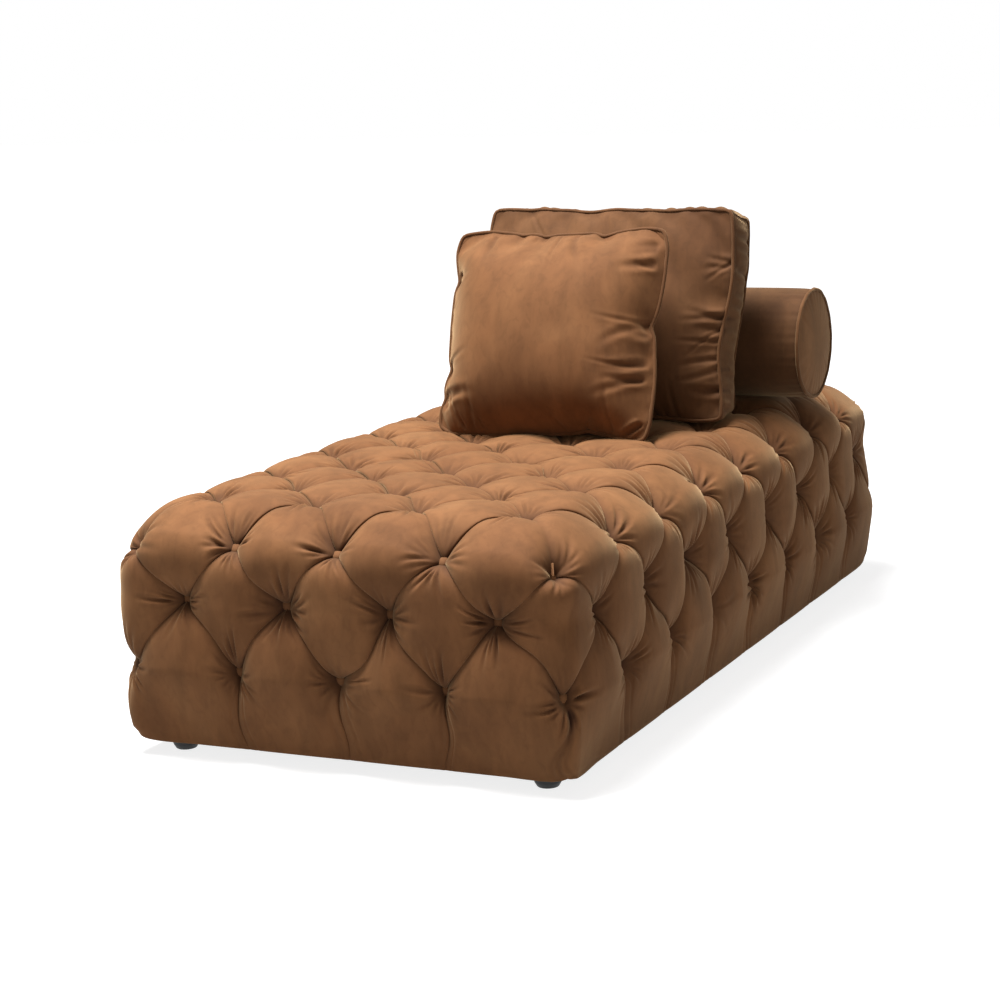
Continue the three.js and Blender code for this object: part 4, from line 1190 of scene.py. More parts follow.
for face, places in button_places().items():
    points, faces = [], []
    for place, facing in places:
        dome_points, dome_faces = button_dome(place[0], facing[0], random)
        faces += [tuple(corner + len(points) for corner in quad) for quad in dome_faces]
        points += dome_points
    buttons = add_mesh(f"buttons_{face}", points, faces, "couch", velvet)
    # Painted shade: each button is darker towards its rim, where it sinks into the cloth.
    shades = np.repeat(button_shades, [button_segments] * len(button_profile) + [1])
    mark_painted_shade(buttons, np.tile(shades, len(places)))
    print(f"buttons on the {face}:", len(places))

# %% [markdown]
# ## Sewing and stuffing the loose cushions
#
# A cushion starts as flat cut panels of cloth, sewn edge to edge. Air pressure inside a cloth simulation
# then blows them up: the middle rises, the edges are drawn in, and the spare cloth gathers into wrinkles
# that run out from the seams, because the piping holds each seam a little shorter than the cloth beside it.
# The simulation starts from seeded unevenness, so that it gives the same cushion each time. Away from the
# seams its small lumps are evened out, and a subdivision surface makes the skin dense enough for the finer
# wrinkles, which are pressed in at seeded places. The result is stretched to the place and the size that
# the frame gives, along the cushion's own axes: across, through and up.

# %% The cushions' own axes
throw_lean, throw_turn, throw_roll = 20, 3, 1.2
box_lean = 13


def own_axes(lean, turn=0, roll=0):
    """A cushion's own axes as the columns of a matrix: across, through and up."""
    turned = Matrix.Rotation(math.radians(-turn), 3, "Z") @ Matrix.Rotation(math.radians(-lean), 3, "X")
    return np.array(turned @ Matrix.Rotation(math.radians(-roll), 3, "Y"))


def own_box(axes, *nodes):
    """The lowest and highest values of some nodes along a cushion's own axes."""
    points = np.concatenate([points_of(frame["nodes"][node].data) for node in nodes]) @ axes
    return points.min(axis=0), points.max(axis=0)


throw_axes = own_axes(throw_lean, throw_turn, throw_roll)
box_axes = own_axes(box_lean)
for name, axes in (("throw_cushion", throw_axes), ("box_cushion", box_axes)):
    piping = f"{name}_piping" if name == "throw_cushion" else f"{name}_front_piping"
    low, high = own_box(axes, piping)
    print(name, "seam measures", np.round(high - low, 3))

# %% Helpers for stuffing
cloth_step = 11 * mm
stuffing_frames = 22
cloth_settings = {
    "quality": 6, "mass": 0.25, "bending_stiffness": 0.5, "air_damping": 4,
    "tension_damping": 12, "compression_damping": 12, "shear_damping": 12, "bending_damping": 2,
}
skin_levels = 2
bulge_start = 12 * mm
corner_cut_power = 2.6
unevenness_count, unevenness_waves, unevenness_depth = 9, 22, 0.15 * mm
stitches_per_knot = 4
band_bulge, band_unevenness = 3 * mm, 0.8 * mm

# A pressed wrinkle: width and length in millimetres, depth in widths, stray of its angle, and its curve.
wrinkle_width = (3.4, 8.5)
wrinkle_length = (35, 140)
wrinkle_depth = (0.45, 0.75)
wrinkle_stray = (-0.25, 0.7)
wrinkle_curve = 2.2
# The cloth rises in a low ridge on both sides of a wrinkle.
ridge_height, ridge_place = 0.45, 1.9
wrinkle_fade = 12 * mm
inwards = {"right": math.pi, "left": 0.0, "top": -math.pi / 2, "bottom": math.pi / 2}


def stuff(name, points, faces, seam_share, pressure, stiffness, gather):
    """Blows up a closed skin of cloth with gathered seams, and returns its points at rest."""
    blown = plain_object(name, points, faces)
    seam = blown.vertex_groups.new(name="seam")
    for i in np.flatnonzero(seam_share > 0):
        seam.add([int(i)], float(seam_share[i]), "REPLACE")
    cloth = blown.modifiers.new("cloth", "CLOTH")
    settings = cloth.settings
    for setting, value in cloth_settings.items():
        setattr(settings, setting, value)
    settings.tension_stiffness = stiffness
    settings.compression_stiffness = stiffness
    settings.shear_stiffness = stiffness / 3
    settings.use_pressure = True
    settings.uniform_pressure_force = pressure
    settings.vertex_group_shrink = "seam"
    settings.shrink_min = 0.0
    settings.shrink_max = gather
    settings.effector_weights.gravity = 0
    cloth.collision_settings.use_collision = False
    cloth.point_cache.frame_start = 1
    cloth.point_cache.frame_end = stuffing_frames
    scene = bpy.context.scene
    for number in range(1, stuffing_frames + 1):
        scene.frame_set(number)
    rested = points_of(evaluated(blown))
    scene.frame_set(1)
    discard(blown)
    return rested


def cut_panel(width, height, taper, random):
    """The grid of a flat cut panel, with its corners cut back so that they don't stand out as ears."""
    columns, rows = round(width / cloth_step) + 1, round(height / cloth_step) + 1
    across, up = np.meshgrid(np.linspace(-1, 1, columns), np.linspace(-1, 1, rows))
    x = width / 2 * across * (1 - taper * np.abs(up) ** corner_cut_power)
    z = height / 2 * up * (1 - taper * np.abs(across) ** corner_cut_power)
    bulge = bulge_start * (1 - across**2) * (1 - up**2)
    unevenness = np.zeros_like(across)
    for _ in range(unevenness_count):
        along_x, along_z = random.uniform(-unevenness_waves, unevenness_waves, 2)
        unevenness += unevenness_depth * np.sin(along_x * across + along_z * up + random.uniform(0, 6))
    return x, z, bulge + unevenness * (1 - across**8) * (1 - up**8)


def distance_to(points, line):
    """How far each point is from the nearest point of a line."""
    tree = KDTree(len(line))
    for i, place in enumerate(line):
        tree.insert(place, i)
    tree.balance()
    return np.array([tree.find(place)[2] for place in points])


def nearness(points, line, width):
    """1 for points on a line of points, falling off over a width."""
    return np.exp(-distance_to(points, line) / width)


def rim_order(rows, columns):
    """The grid places of a panel's rim in order, once round."""
    bottom = [(0, c) for c in range(columns - 1)]
    right = [(r, columns - 1) for r in range(rows - 1)]
    top = [(rows - 1, c) for c in range(columns - 1, 0, -1)]
    left = [(r, 0) for r in range(rows - 1, 0, -1)]
    return np.array(bottom + right + top + left)


def sew(front, back, depth, random):
    """Sews two panels, with a band between them when there is a depth. Gives points, faces and seams."""
    (x, z, bulge), (back_x, back_z, back_bulge) = front, back
    rows, columns = x.shape
    rim = rim_order(rows, columns)
    front_points = np.stack([x, -bulge, z], axis=-1).reshape(-1, 3)
    back_points = np.stack([back_x, depth + back_bulge, back_z], axis=-1).reshape(-1, 3)
    flat_rim = rim[:, 0] * columns + rim[:, 1]
    faces = [grid_faces(rows, columns)]
    back_faces = grid_faces(rows, columns)[:, ::-1]
    points = [front_points]
    if depth == 0:
        numbers = np.full(rows * columns, -1)
        numbers[flat_rim] = flat_rim
        inner = np.flatnonzero(numbers < 0)
        numbers[inner] = rows * columns + np.arange(len(inner))
        points.append(back_points[inner])
        faces.append(numbers[back_faces])
        return np.concatenate(points), np.concatenate(faces), [flat_rim]
    points.append(back_points)
    faces.append(back_faces + rows * columns)
    count = round(depth / cloth_step)
    rings = [flat_rim]
    for i in range(1, count):
        share = i / count
        ring = (1 - share) * front_points[flat_rim] + share * back_points[flat_rim]
        outwards = (ring - ring.mean(axis=0)) * np.array([1, 0, 1])
        outwards = outwards / np.linalg.norm(outwards, axis=1, keepdims=True)
        rings.append(sum(len(p) for p in points) + np.arange(len(ring)))
        lumps = random.normal(0, band_unevenness, (len(ring), 1))
        points.append(ring + outwards * (lumps + band_bulge * share * (1 - share)))
    rings.append(flat_rim + rows * columns)
    for here, after in zip(rings[:-1], rings[1:]):
        faces.append(np.stack([here, after, np.roll(after, -1), np.roll(here, -1)], axis=-1))
    return np.concatenate(points), np.concatenate(faces), [rings[0], rings[-1]]


def wrinkled(own, low, high, creases_per_side, random):
    """Presses wrinkles into the front of a stuffed cushion, in from its sides. Gives points and depths."""
    depth = np.zeros(len(own))
    front = smooth_step(0, wrinkle_fade, (low[1] + high[1]) / 2 - own[:, 1])
    for side, count, first_share, last_share in creases_per_side:
        for _ in range(count):
            share = random.uniform(first_share, last_share)
            width = random.uniform(*wrinkle_width) * mm
            length = random.uniform(*wrinkle_length) * mm
            deep = random.uniform(*wrinkle_depth) * width
            angle = inwards[side] + random.uniform(*wrinkle_stray)
            if side in ("right", "left"):
                start_x = high[0] if side == "right" else low[0]
                start_z = low[2] + share * (high[2] - low[2])
            else:
                start_x = low[0] + share * (high[0] - low[0])
                start_z = high[2] if side == "top" else low[2]
            x, z = own[:, 0] - start_x, own[:, 2] - start_z
            along = x * math.cos(angle) + z * math.sin(angle)
            bend = random.uniform(-wrinkle_curve, wrinkle_curve) * along**2
            beside = (-x * math.sin(angle) + z * math.cos(angle) - bend) / width
            ridges = ridge_height * np.exp(-((np.abs(beside) - ridge_place) ** 2))
            shape = np.exp(-beside**2) - ridges
            fade = smooth_step(0, wrinkle_fade, along) * (1 - smooth_step(0.2 * length, length, along))
            depth += deep * shape * fade * front
    moved = own.copy()
    moved[:, 1] += depth
    return moved, np.maximum(depth, 0)


def smoothed(points, faces, amounts, times):
    """Evens out the small lumps of a skin: each point moves towards the middle of its neighbours."""
    faces = np.asarray(faces)
    ends = np.concatenate([np.stack([faces[:, i], faces[:, (i + 1) % 4]], axis=-1) for i in range(4)])
    ends = np.concatenate([ends, ends[:, ::-1]])
    neighbours = np.bincount(ends[:, 0], minlength=len(points))
    for _ in range(times):
        totals = [np.bincount(ends[:, 0], points[ends[:, 1], axis], len(points)) for axis in range(3)]
        points = points + amounts[:, None] * (np.stack(totals, axis=-1) / neighbours[:, None] - points)
    return points


def rounded(name, points, faces, levels):
    """The points and quads of a skin after a subdivision surface. The first points stay the first."""
    skin = plain_object(name, points, faces)
    rounding = skin.modifiers.new("rounding", "SUBSURF")
    rounding.levels = levels
    shape = evaluated(skin)
    fine_points = points_of(shape)
    fine_faces = np.zeros(len(shape.polygons) * 4, dtype=np.int32)
    shape.polygons.foreach_get("vertices", fine_faces)
    discard(skin)
    return fine_points, fine_faces.reshape(-1, 4)


def seam_weights(count, seams, random):
    """How tightly each point of the seams is gathered: unevenly, in stretches of a few stitches."""
    weights = np.zeros(count)
    for seam in seams:
        knots = random.uniform(0.0, 1.0, len(seam) // stitches_per_knot + 1)
        weights[seam] = np.interp(np.linspace(0, len(knots) - 1, len(seam)), np.arange(len(knots)), knots)
    return weights


print("cloth step:", cloth_step, "m")

# %% [markdown]
# ## Piping
#
# Piping is a cord wrapped in a bias strip of the same cloth and caught in the seam. Here it is a tube that
# follows the seam of the stuffed cushion point by point, so it waves where the seam waves. It stands
# outside the seam by part of its own radius, as the strip's flange holds it there.

# %% Piping along a seam
piping_radius = 4 * mm
piping_stand = 1 * mm
piping_sides = 10


def make_piping(name, body, line, through, replaced):
    """A tube along a closed line of points. The direction through the cushion sets its sides."""
    for _ in range(2):
        line = 0.5 * line + 0.25 * (np.roll(line, 1, axis=0) + np.roll(line, -1, axis=0))
    tangent = np.roll(line, -1, axis=0) - np.roll(line, 1, axis=0)
    tangent = tangent / np.linalg.norm(tangent, axis=1, keepdims=True)
    sideways = np.cross(tangent, through)
    sideways = sideways / np.linalg.norm(sideways, axis=1, keepdims=True)
    upright = np.cross(sideways, tangent)
    outwards = np.sign(np.sum((line - line.mean(axis=0)) * sideways))
    line = line + piping_stand * outwards * sideways
    angles = np.linspace(0, 2 * math.pi, piping_sides, endpoint=False)
    circle = np.cos(angles)[:, None, None] * sideways + np.sin(angles)[:, None, None] * upright
    points = (line + piping_radius * circle).transpose(1, 0, 2)
    numbers = np.arange(len(line) * piping_sides).reshape(len(line), piping_sides)
    faces = closed_strip(np.concatenate([numbers, numbers[:1]]))
    # The piping has the darker copy of the velvet, which is painted shade.
    piece = add_mesh(name, points.reshape(-1, 3), faces, body, velvet_piping)
    fix_normals(piece)
    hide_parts(replaced)
    return piece


def make_filling(name, body, points, faces, axes, shrink):
    """The filling inside a stuffed cover: the same form, drawn in a little on every side."""
    own = points @ axes
    middle = (own.min(axis=0) + own.max(axis=0)) / 2
    half = (own.max(axis=0) - own.min(axis=0)) / 2
    own = middle + (own - middle) * (1 - shrink / half)
    filling = add_mesh(name, own @ axes.T, faces, body, fibre_filling)
    fix_normals(filling)
    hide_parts(name.replace("_core", ""))
    return filling


print("piping:", 2 * piping_radius / mm, "mm thick")

# %% [markdown]
# ## The throw cushion
#
# The throw cushion is two square panels with fibre filling. It is the softest piece: it thins out to a
# knife edge at its seam, wrinkles run in from its sides, and its corners are full. It leans back on the box
# cushion.

# %% The throw cushion
throw_panel = (0.555, 0.505)
throw_taper = 0.075
throw_pressure = 2.6
throw_stiffness = 15
throw_gather = 0.06
throw_wrinkles = [
    ("right", 9, 0.06, 0.55), ("right", 4, 0.80, 0.97), ("left", 4, 0.1, 0.5), ("left", 4, 0.5, 0.9),
    ("top", 4, 0.1, 0.9), ("bottom", 7, 0.08, 0.9),
]
knife_edge_share, knife_edge_reach = 0.5, 45 * mm
corner_proud = 11 * mm
# What the cushions share: the smoothing of their skins, their fillings, zips, and painted shade along seams
# and in wrinkles.
smooth_reach = 26 * mm
smooth_from_seam = 70 * mm
filling_shrink = np.array([20, 15, 20]) * mm
seam_inset = 1.5 * piping_radius
zip_blend, zip_reach, zip_cover = 10 * mm, 60 * mm, 0.8 * mm
seam_shade, seam_shade_width = 0.5, 6 * mm
wrinkle_shade = 0.8 * crease_shade


def stretch_to(values, places, targets):
    """Moves values so that the places get to the targets, in straight stretches between them."""
    order = np.argsort(places)
    return np.interp(values, np.asarray(places)[order], np.asarray(targets)[order])


def evened(blown, faces, seams):
    """A stuffed skin without the lumps of its middle. Near the seams it keeps its gathers."""
    rims = np.concatenate([blown[seam] for seam in seams])
    amounts = 0.5 * smooth_step(0, smooth_from_seam, distance_to(blown, rims))
    return smoothed(blown, faces, amounts, round(2 * (smooth_reach / cloth_step) ** 2))


def make_room_for_zip(points, axes, zip_tape_node):
    """Sets the cloth round a zip at the height where its tape lies flush, and blends away from it."""
    zip_low, zip_high = own_box(axes, zip_tape_node)
    cloth_height = zip_low[2] + zip_cover
    gap_x = np.maximum(zip_low[0] - points[:, 0], points[:, 0] - zip_high[0])
    gap_y = np.maximum(zip_low[1] - points[:, 1], points[:, 1] - zip_high[1])
    near = 1 - smooth_step(0, zip_blend, np.maximum(gap_x, gap_y))
    share = near * (points[:, 2] < cloth_height + zip_reach)
    points[:, 2] = (1 - share) * points[:, 2] + share * cloth_height
    return points


def shade_seams(piece, points, seam_points, creases=0):
    """Paints shade on the velvet of a stuffed cover along its seams and in its wrinkles."""
    at_seams = seam_shade * nearness(points, seam_points, seam_shade_width)
    mark_painted_shade(piece, at_seams + wrinkle_shade * creases)


def make_throw_cushion(random):
    """The throw cushion's cover, with its piping and its filling."""
    front = cut_panel(*throw_panel, throw_taper, random)
    points, faces, seams = sew(front, front, 0, random)
    weights = seam_weights(len(points), seams, random)
    blown = stuff("throw_cushion", points, faces, weights, throw_pressure, throw_stiffness, throw_gather)
    seam_low, seam_high = own_box(throw_axes, "throw_cushion_piping")
    low, high = own_box(throw_axes, "throw_cushion_front_panel", "throw_cushion_back_panel")
    rim = blown[seams[0]]
    middle = (seam_low + seam_high) / 2
    print("blown:", np.round(blown.max(axis=0) - blown.min(axis=0), 3))
    blown = evened(blown, faces, seams)
    placed = blown.copy()
    # The corners stand proud of the seam's box, because they are cut back and the simulation rounds them.
    edge = seam_inset - corner_proud
    for axis in (0, 2):
        placed[:, axis] = np.interp(
            blown[:, axis],
            [rim[:, axis].min(), rim[:, axis].max()],
            [seam_low[axis] + edge, seam_high[axis] - edge],
        )
    placed[:, 1] = stretch_to(
        blown[:, 1],
        [blown[:, 1].min(), rim[:, 1].mean(), blown[:, 1].max()],
        [low[1], middle[1], high[1]],
    )
    to_rim = distance_to(placed * np.array([1, 0, 1]), placed[seams[0]] * np.array([1, 0, 1]))
    thin = 1 - knife_edge_share * np.exp(-to_rim / knife_edge_reach)
    placed[:, 1] = middle[1] + (placed[:, 1] - middle[1]) * thin
    placed = make_room_for_zip(placed, throw_axes, "throw_cushion_zip_tape")
    placed, dense_faces = rounded("throw_skin", placed, faces, skin_levels)
    placed, creases = wrinkled(placed, low, high, throw_wrinkles, random)
    world = placed @ throw_axes.T
    # The cover has a darker copy of the velvet, which is painted shade.
    cushion = add_mesh("throw_cushion_cover", world, dense_faces, "throw_cushion", shaded_velvet_throw)
    fix_normals(cushion)
    shade_seams(cushion, world, world[seams[0]], creases)
    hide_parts("throw_cushion_front_panel", "throw_cushion_back_panel")
    seam, through = world[seams[0]], throw_axes[:, 1]
    make_piping("throw_cushion_piping_cord", "throw_cushion", seam, through, "throw_cushion_piping")
    core = world[:len(points)]
    make_filling("throw_cushion_filling_core", "throw_cushion", core, faces, throw_axes, filling_shrink)
    return cushion


throw_cushion = make_throw_cushion(np.random.default_rng(5))
print("throw cushion:", len(throw_cushion.data.vertices), "points")

# %% [markdown]
# ## The box cushion
#
# The box cushion has a front and a back panel and a band between them, with piping in both seams. Its
# filling is firmer, so the panels crown less. The band is only as tight as its seams, and puckers between
# them. Under its own weight the right side has sunk in above the lower corner.

# %% The box cushion
box_panel = (0.595, 0.452)
box_taper = 0.02
box_depth = 0.115
box_pressure = 0.8
box_stiffness = 18
box_gather = 0.09
slump_depth, slump_height, slump_reach = 26 * mm, 150 * mm, 105 * mm
slump_from, slump_full = 60 * mm, 280 * mm
top_proud = 5 * mm
pucker_waves = [24 * mm, 37 * mm, 58 * mm]
band_pucker = 7 * mm
band_from, band_full, band_lowest = 0.86, 0.97, -0.9
box_wrinkles = [
    ("right", 14, 0.08, 0.62), ("right", 3, 0.7, 0.95), ("left", 6, 0.1, 0.9), ("top", 2, 0.1, 0.5),
    ("bottom", 4, 0.1, 0.9),
]


def slump(across, up):
    """How far the right side of the box cushion has sunk in, most of all above its lower corner."""
    low_down = np.exp(-(((up - slump_height) / slump_reach) ** 2))
    return slump_depth * low_down * smooth_step(slump_from, slump_full, across)


def puckered_band(own, low, high, front_seam, back_seam, random):
    """Draws the band in between its seams, in puckers that run across it. Gives points and depths."""
    middle, half = (low + high) / 2, (high - low) / 2
    share = ((own[:, 1] - front_seam) / (back_seam - front_seam)).clip(0, 1)
    across, up = (own[:, 0] - middle[0]) / half[0], (own[:, 2] - middle[2]) / half[2]
    at_side = np.abs(across) > np.abs(up)
    run = np.where(at_side, own[:, 2], own[:, 0])
    waves = np.zeros_like(run)
    for wave in pucker_waves:
        waves += np.sin(2 * math.pi * run / wave + random.uniform(0, 6) + 2 * share) / len(pucker_waves)
    on_rim = smooth_step(band_from, band_full, np.maximum(np.abs(across), np.abs(up))) * (up > band_lowest)
    depth = band_pucker * (0.5 + 0.5 * waves) ** 1.5 * np.sin(math.pi * share) ** 0.6 * on_rim
    moved = own.copy()
    moved[:, 0] -= np.sign(across) * at_side * depth
    moved[:, 2] -= np.sign(up) * ~at_side * depth
    return moved, depth * (waves > 0)


def between(values, rim, first, last):
    """Moves values so that their rim reaches from first to last. Beyond it they keep their distance."""
    low, high = rim.min(), rim.max()
    return np.interp(values, [-1, low, high, 1], [first - low - 1, first, last, last + 1 - high])


def make_box_cushion(random):
    """The box cushion's cover, with its two pipings and its filling."""
    front = cut_panel(*box_panel, box_taper, random)
    back = cut_panel(*box_panel, box_taper, random)
    points, faces, seams = sew(front, back, box_depth, random)
    weights = seam_weights(len(points), seams, random)
    blown = stuff("box_cushion", points, faces, weights, box_pressure, box_stiffness, box_gather)
    blown = evened(blown, faces, seams)
    print("blown:", np.round(blown.max(axis=0) - blown.min(axis=0), 3))
    front_low, front_high = own_box(box_axes, "box_cushion_front_piping")
    back_low, back_high = own_box(box_axes, "box_cushion_back_piping")
    low, high = own_box(box_axes, "box_cushion_front_panel", "box_cushion_back_panel")
    front_rim, back_rim = blown[seams[0]], blown[seams[1]]
    front_seam = (front_low[1] + front_high[1]) / 2
    back_seam = (back_low[1] + back_high[1]) / 2
    through = stretch_to(
        blown[:, 1],
        [blown[:, 1].min(), front_rim[:, 1].mean(), back_rim[:, 1].mean(), blown[:, 1].max()],
        [low[1], front_seam, back_seam, high[1]],
    )
    share = np.clip((through - front_seam) / (back_seam - front_seam), 0, 1)
    placed = blown.copy()
    for axis, proud in ((0, -seam_inset), (2, top_proud)):
        values = blown[:, axis]
        first, last = front_low[axis] + seam_inset, front_high[axis] + proud
        at_front = between(values, front_rim[:, axis], first, last)
        first, last = back_low[axis] + seam_inset, back_high[axis] + proud
        at_back = between(values, back_rim[:, axis], first, last)
        placed[:, axis] = (1 - share) * at_front + share * at_back
    placed[:, 1] = through
    placed[:, 0] -= slump(placed[:, 0], placed[:, 2] - front_low[2])
    placed = make_room_for_zip(placed, box_axes, "box_cushion_zip_tape")
    placed, dense_faces = rounded("box_skin", placed, faces, skin_levels)
    placed, creases = wrinkled(placed, low, high, box_wrinkles, random)
    placed, puckers = puckered_band(placed, front_low, front_high, front_seam, back_seam, random)
    creases = creases + puckers
    world = placed @ box_axes.T
    # The cover has a darker copy of the velvet, which is painted shade.
    cushion = add_mesh("box_cushion_cover", world, dense_faces, "box_cushion", shaded_velvet_box)
    fix_normals(cushion)
    shade_seams(cushion, world, np.concatenate([world[seam] for seam in seams]), creases)
    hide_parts("box_cushion_front_panel", "box_cushion_back_panel", "box_cushion_band")
    for seam, side in zip(seams, ("front", "back")):
        piping = f"box_cushion_{side}_piping"
        make_piping(f"{piping}_cord", "box_cushion", world[seam], box_axes[:, 1], piping)
    core = world[:len(points)]
    make_filling("box_cushion_filling_core", "box_cushion", core, faces, box_axes, filling_shrink)
    return cushion


box_cushion = make_box_cushion(np.random.default_rng(8))
print("box cushion:", len(box_cushion.data.vertices), "points")

# %% [markdown]
# ## The bolster
#
# A bolster is a tube of velvet with a round disc sewn into each end. It is filled hard, so it stays almost
# a true cylinder: the sleeve is a little full beside the piping, shallow puckers run in from both seams,
# and the discs are domed. That is so regular that a grid round and along the tube is the simplest way, with
# no simulation.

# %% The bolster's cover
bolster_around = 160
bolster_rows = 120
bolster_crown = 10 * mm
bolster_fullness = 2.0 * mm
fullness_reach = 14 * mm
pucker_depth = 1.5 * mm
pucker_reach = 40 * mm
pucker_counts = (17, 29, 43)
slow_waves = 0.7 * mm
bolster_end_share = 0.2
disc_rings = 22
disc_centre = 0.04
disc_power, disc_waves, disc_counts = 2.4, 0.9 * mm, (11, 19, 31)
# The sleeve lies flush with its zip over these angles, in radians, and this far past the ends of the tape.
zip_turn_full, zip_turn_end = 0.04, 0.12
zip_end_blend = 15 * mm
bolster_shrink = np.array([6, 5, 5]) * mm


def bolster_frame():
    """The middle, the half length and the radius of the bolster in the frame."""
    low, high = box_of("bolster_sleeve")
    left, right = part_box("bolster_piping_left"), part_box("bolster_piping_right")
    half_length = (right[0][0] + right[1][0] - left[0][0] - left[1][0]) / 4
    return (low + high) / 2, half_length, (high[2] - low[2]) / 2


def zip_angle(middle):
    """Where the zip lies round the bolster, and how far its tape is from the axis."""
    points = points_of(frame["nodes"]["bolster_zip_tape"].data) - middle
    centre = points.mean(axis=0)
    return math.atan2(centre[2], centre[1]), math.hypot(centre[1], centre[2])


def bolster_radius(x, angle, half_length, radius, random):
    """The sleeve's radius along and round it: nearly even, and puckered near the seams."""
    waves = np.zeros_like(angle)
    for count in pucker_counts:
        waves += np.sin(count * angle + random.uniform(0, 6) + 9 * x) / len(pucker_counts)
    from_seam = half_length - np.abs(x)
    fullness = bolster_fullness * (1 - np.exp(-from_seam / fullness_reach))
    long_waves = slow_waves * np.sin(5 * angle + 14 * x) * np.sin(9 * x + 1)
    puckers = pucker_depth * (1 + waves) * np.exp(-from_seam / pucker_reach)
    return radius - bolster_fullness + fullness + long_waves - puckers


def sleeve_rings(half_length, radius, middle, angle, random):
    """The rings of points of the sleeve, from its left seam to its right seam."""
    ends = half_length * (1 - np.linspace(0, 1, bolster_rows // 4 + 1) ** 2 * bolster_end_share)
    inner = np.linspace(-ends[-1], ends[-1], bolster_rows // 2)
    along = np.concatenate([-ends[:-1], inner, ends[:-1][::-1]])
    x, turn = np.meshgrid(along, angle, indexing="ij")
    reach = bolster_radius(x, turn, half_length, radius, random)
    tape_turn, tape_reach = zip_angle(middle)
    tape_low, tape_high = box_of("bolster_zip_tape")
    tape_half = (tape_high[0] - tape_low[0]) / 2
    from_tape = np.abs(np.mod(turn - tape_turn + math.pi, 2 * math.pi) - math.pi)
    near = 1 - smooth_step(zip_turn_full, zip_turn_end, from_tape)
    near = near * (1 - smooth_step(tape_half, tape_half + zip_end_blend, np.abs(x)))
    reach = (1 - near) * reach + near * tape_reach
    return np.stack([x, reach * np.cos(turn), reach * np.sin(turn)], axis=-1)


def disc_rings_in(rim, half_length, sign, angle, random):
    """The rings of points of a domed disc, from its seam inwards."""
    waves = np.zeros_like(angle)
    for count in disc_counts:
        waves += np.sin(count * angle + random.uniform(0, 6)) / len(disc_counts)
    rings = []
    for share in np.linspace(1, disc_centre, disc_rings)[1:]:
        ring = rim * np.array([0, share, share])
        dome = bolster_crown * (1 - share**disc_power) + disc_waves * waves * share**3
        ring[:, 0] = sign * (half_length + dome)
        rings.append(ring)
    return np.array(rings)


def make_bolster(random):
    """The bolster's cover, with its two pipings and its filling."""
    middle, half_length, radius = bolster_frame()
    angle = np.linspace(0, 2 * math.pi, bolster_around, endpoint=False)
    sleeve = sleeve_rings(half_length, radius, middle, angle, random)
    left_disc = disc_rings_in(sleeve[0], half_length, -1, angle, random)
    right_disc = disc_rings_in(sleeve[-1], half_length, 1, angle, random)
    grid = np.concatenate([left_disc[::-1], sleeve, right_disc])
    numbers = np.arange(len(grid) * bolster_around).reshape(len(grid), bolster_around)
    strips = closed_strip(numbers)
    disc_rows = len(left_disc)
    row = np.arange(len(strips)) // bolster_around
    on_disc = np.append((row < disc_rows) | (row >= len(grid) - 1 - disc_rows), [True, True])
    faces = [tuple(f) for f in strips] + [tuple(numbers[0][::-1]), tuple(numbers[-1])]
    points = grid.reshape(-1, 3) + middle
    cover = add_mesh("bolster_cover", points, faces, "bolster", shaded_velvet_bolster)
    # The sleeve has the darker copy of the velvet, which is painted shade, and the discs keep the plain
    # velvet.
    cover.data.materials.append(velvet)
    cover.data.polygons.foreach_set("material_index", on_disc.astype(np.int32))
    fix_normals(cover)
    seams = [points[numbers[disc_rows]], points[numbers[-1 - disc_rows]]]
    shade_seams(cover, points, np.concatenate(seams))
    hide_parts("bolster_sleeve", "bolster_end_left", "bolster_end_right")
    along = np.array([1.0, 0, 0])
    for seam, side in zip(seams, ("left", "right")):
        make_piping(f"bolster_{side}_piping_cord", "bolster", seam, along, f"bolster_piping_{side}")
    make_filling("bolster_filling_core", "bolster", points, faces, np.eye(3), bolster_shrink)
    return cover


bolster = make_bolster(np.random.default_rng(3))
print("bolster:", len(bolster.data.vertices), "points")

# %% [markdown]
# ## The seat gives way under the loose pieces
#
# A loose piece presses the puffs that it stands on. A ray goes up from below each point of the cover, and
# where it meets the underside of a cushion before it gets to the point, the point comes down to just under
# that cushion.

# %% Pressing the seat
press_gap = 0.6 * mm
press_search = 70 * mm
press_depth = 30 * mm


def press(piece, pressers):
    """Moves a piece's points down to just below the pieces that press on it."""
    trees = []
    for presser in pressers:
        mesh = bmesh.new()
        mesh.from_mesh(presser.data)
        trees.append(BVHTree.FromBMesh(mesh))
        mesh.free()
    points = points_of(piece.data)
    pressed = 0
    for i in np.flatnonzero(points[:, 2] > top_button_height - press_depth):
        start = Vector(points[i]) - Vector((0, 0, press_search))
        for tree in trees:
            hit = tree.ray_cast(start, Vector((0, 0, 1)), press_search + press_gap)
            if hit[0] is not None:
                points[i, 2] = min(points[i, 2], hit[0].z - press_gap)
                pressed += 1
    piece.data.vertices.foreach_set("co", points.ravel())
    piece.data.update()
    return pressed


loose = [item for item in bpy.data.objects if item.name.endswith(("_cushion_cover", "_piping_cord"))]
loose.append(bolster)
print("pressed points of the cover:", press(cover, loose))
print("pressed points of the buttons:", press(bpy.data.objects["buttons_top"], loose))

# %% [markdown]
# ## Inside and underneath
#
# Under the cover a slab of foam lies on the deck. The edges of its top are well rounded, so that it stays
# inside the cover at the slack corner too. Under the frame a black felt is stapled to the rails, to keep
# dust out, with a round hole for each foot. It hangs down by a few millimetres in the middle. The feet are
# turned from a profile, with softened edges as moulding leaves them.

# %% The foam slab
foam_edge = 22 * mm
foam_edge_steps = 6
foam_inset = 0.2 * mm


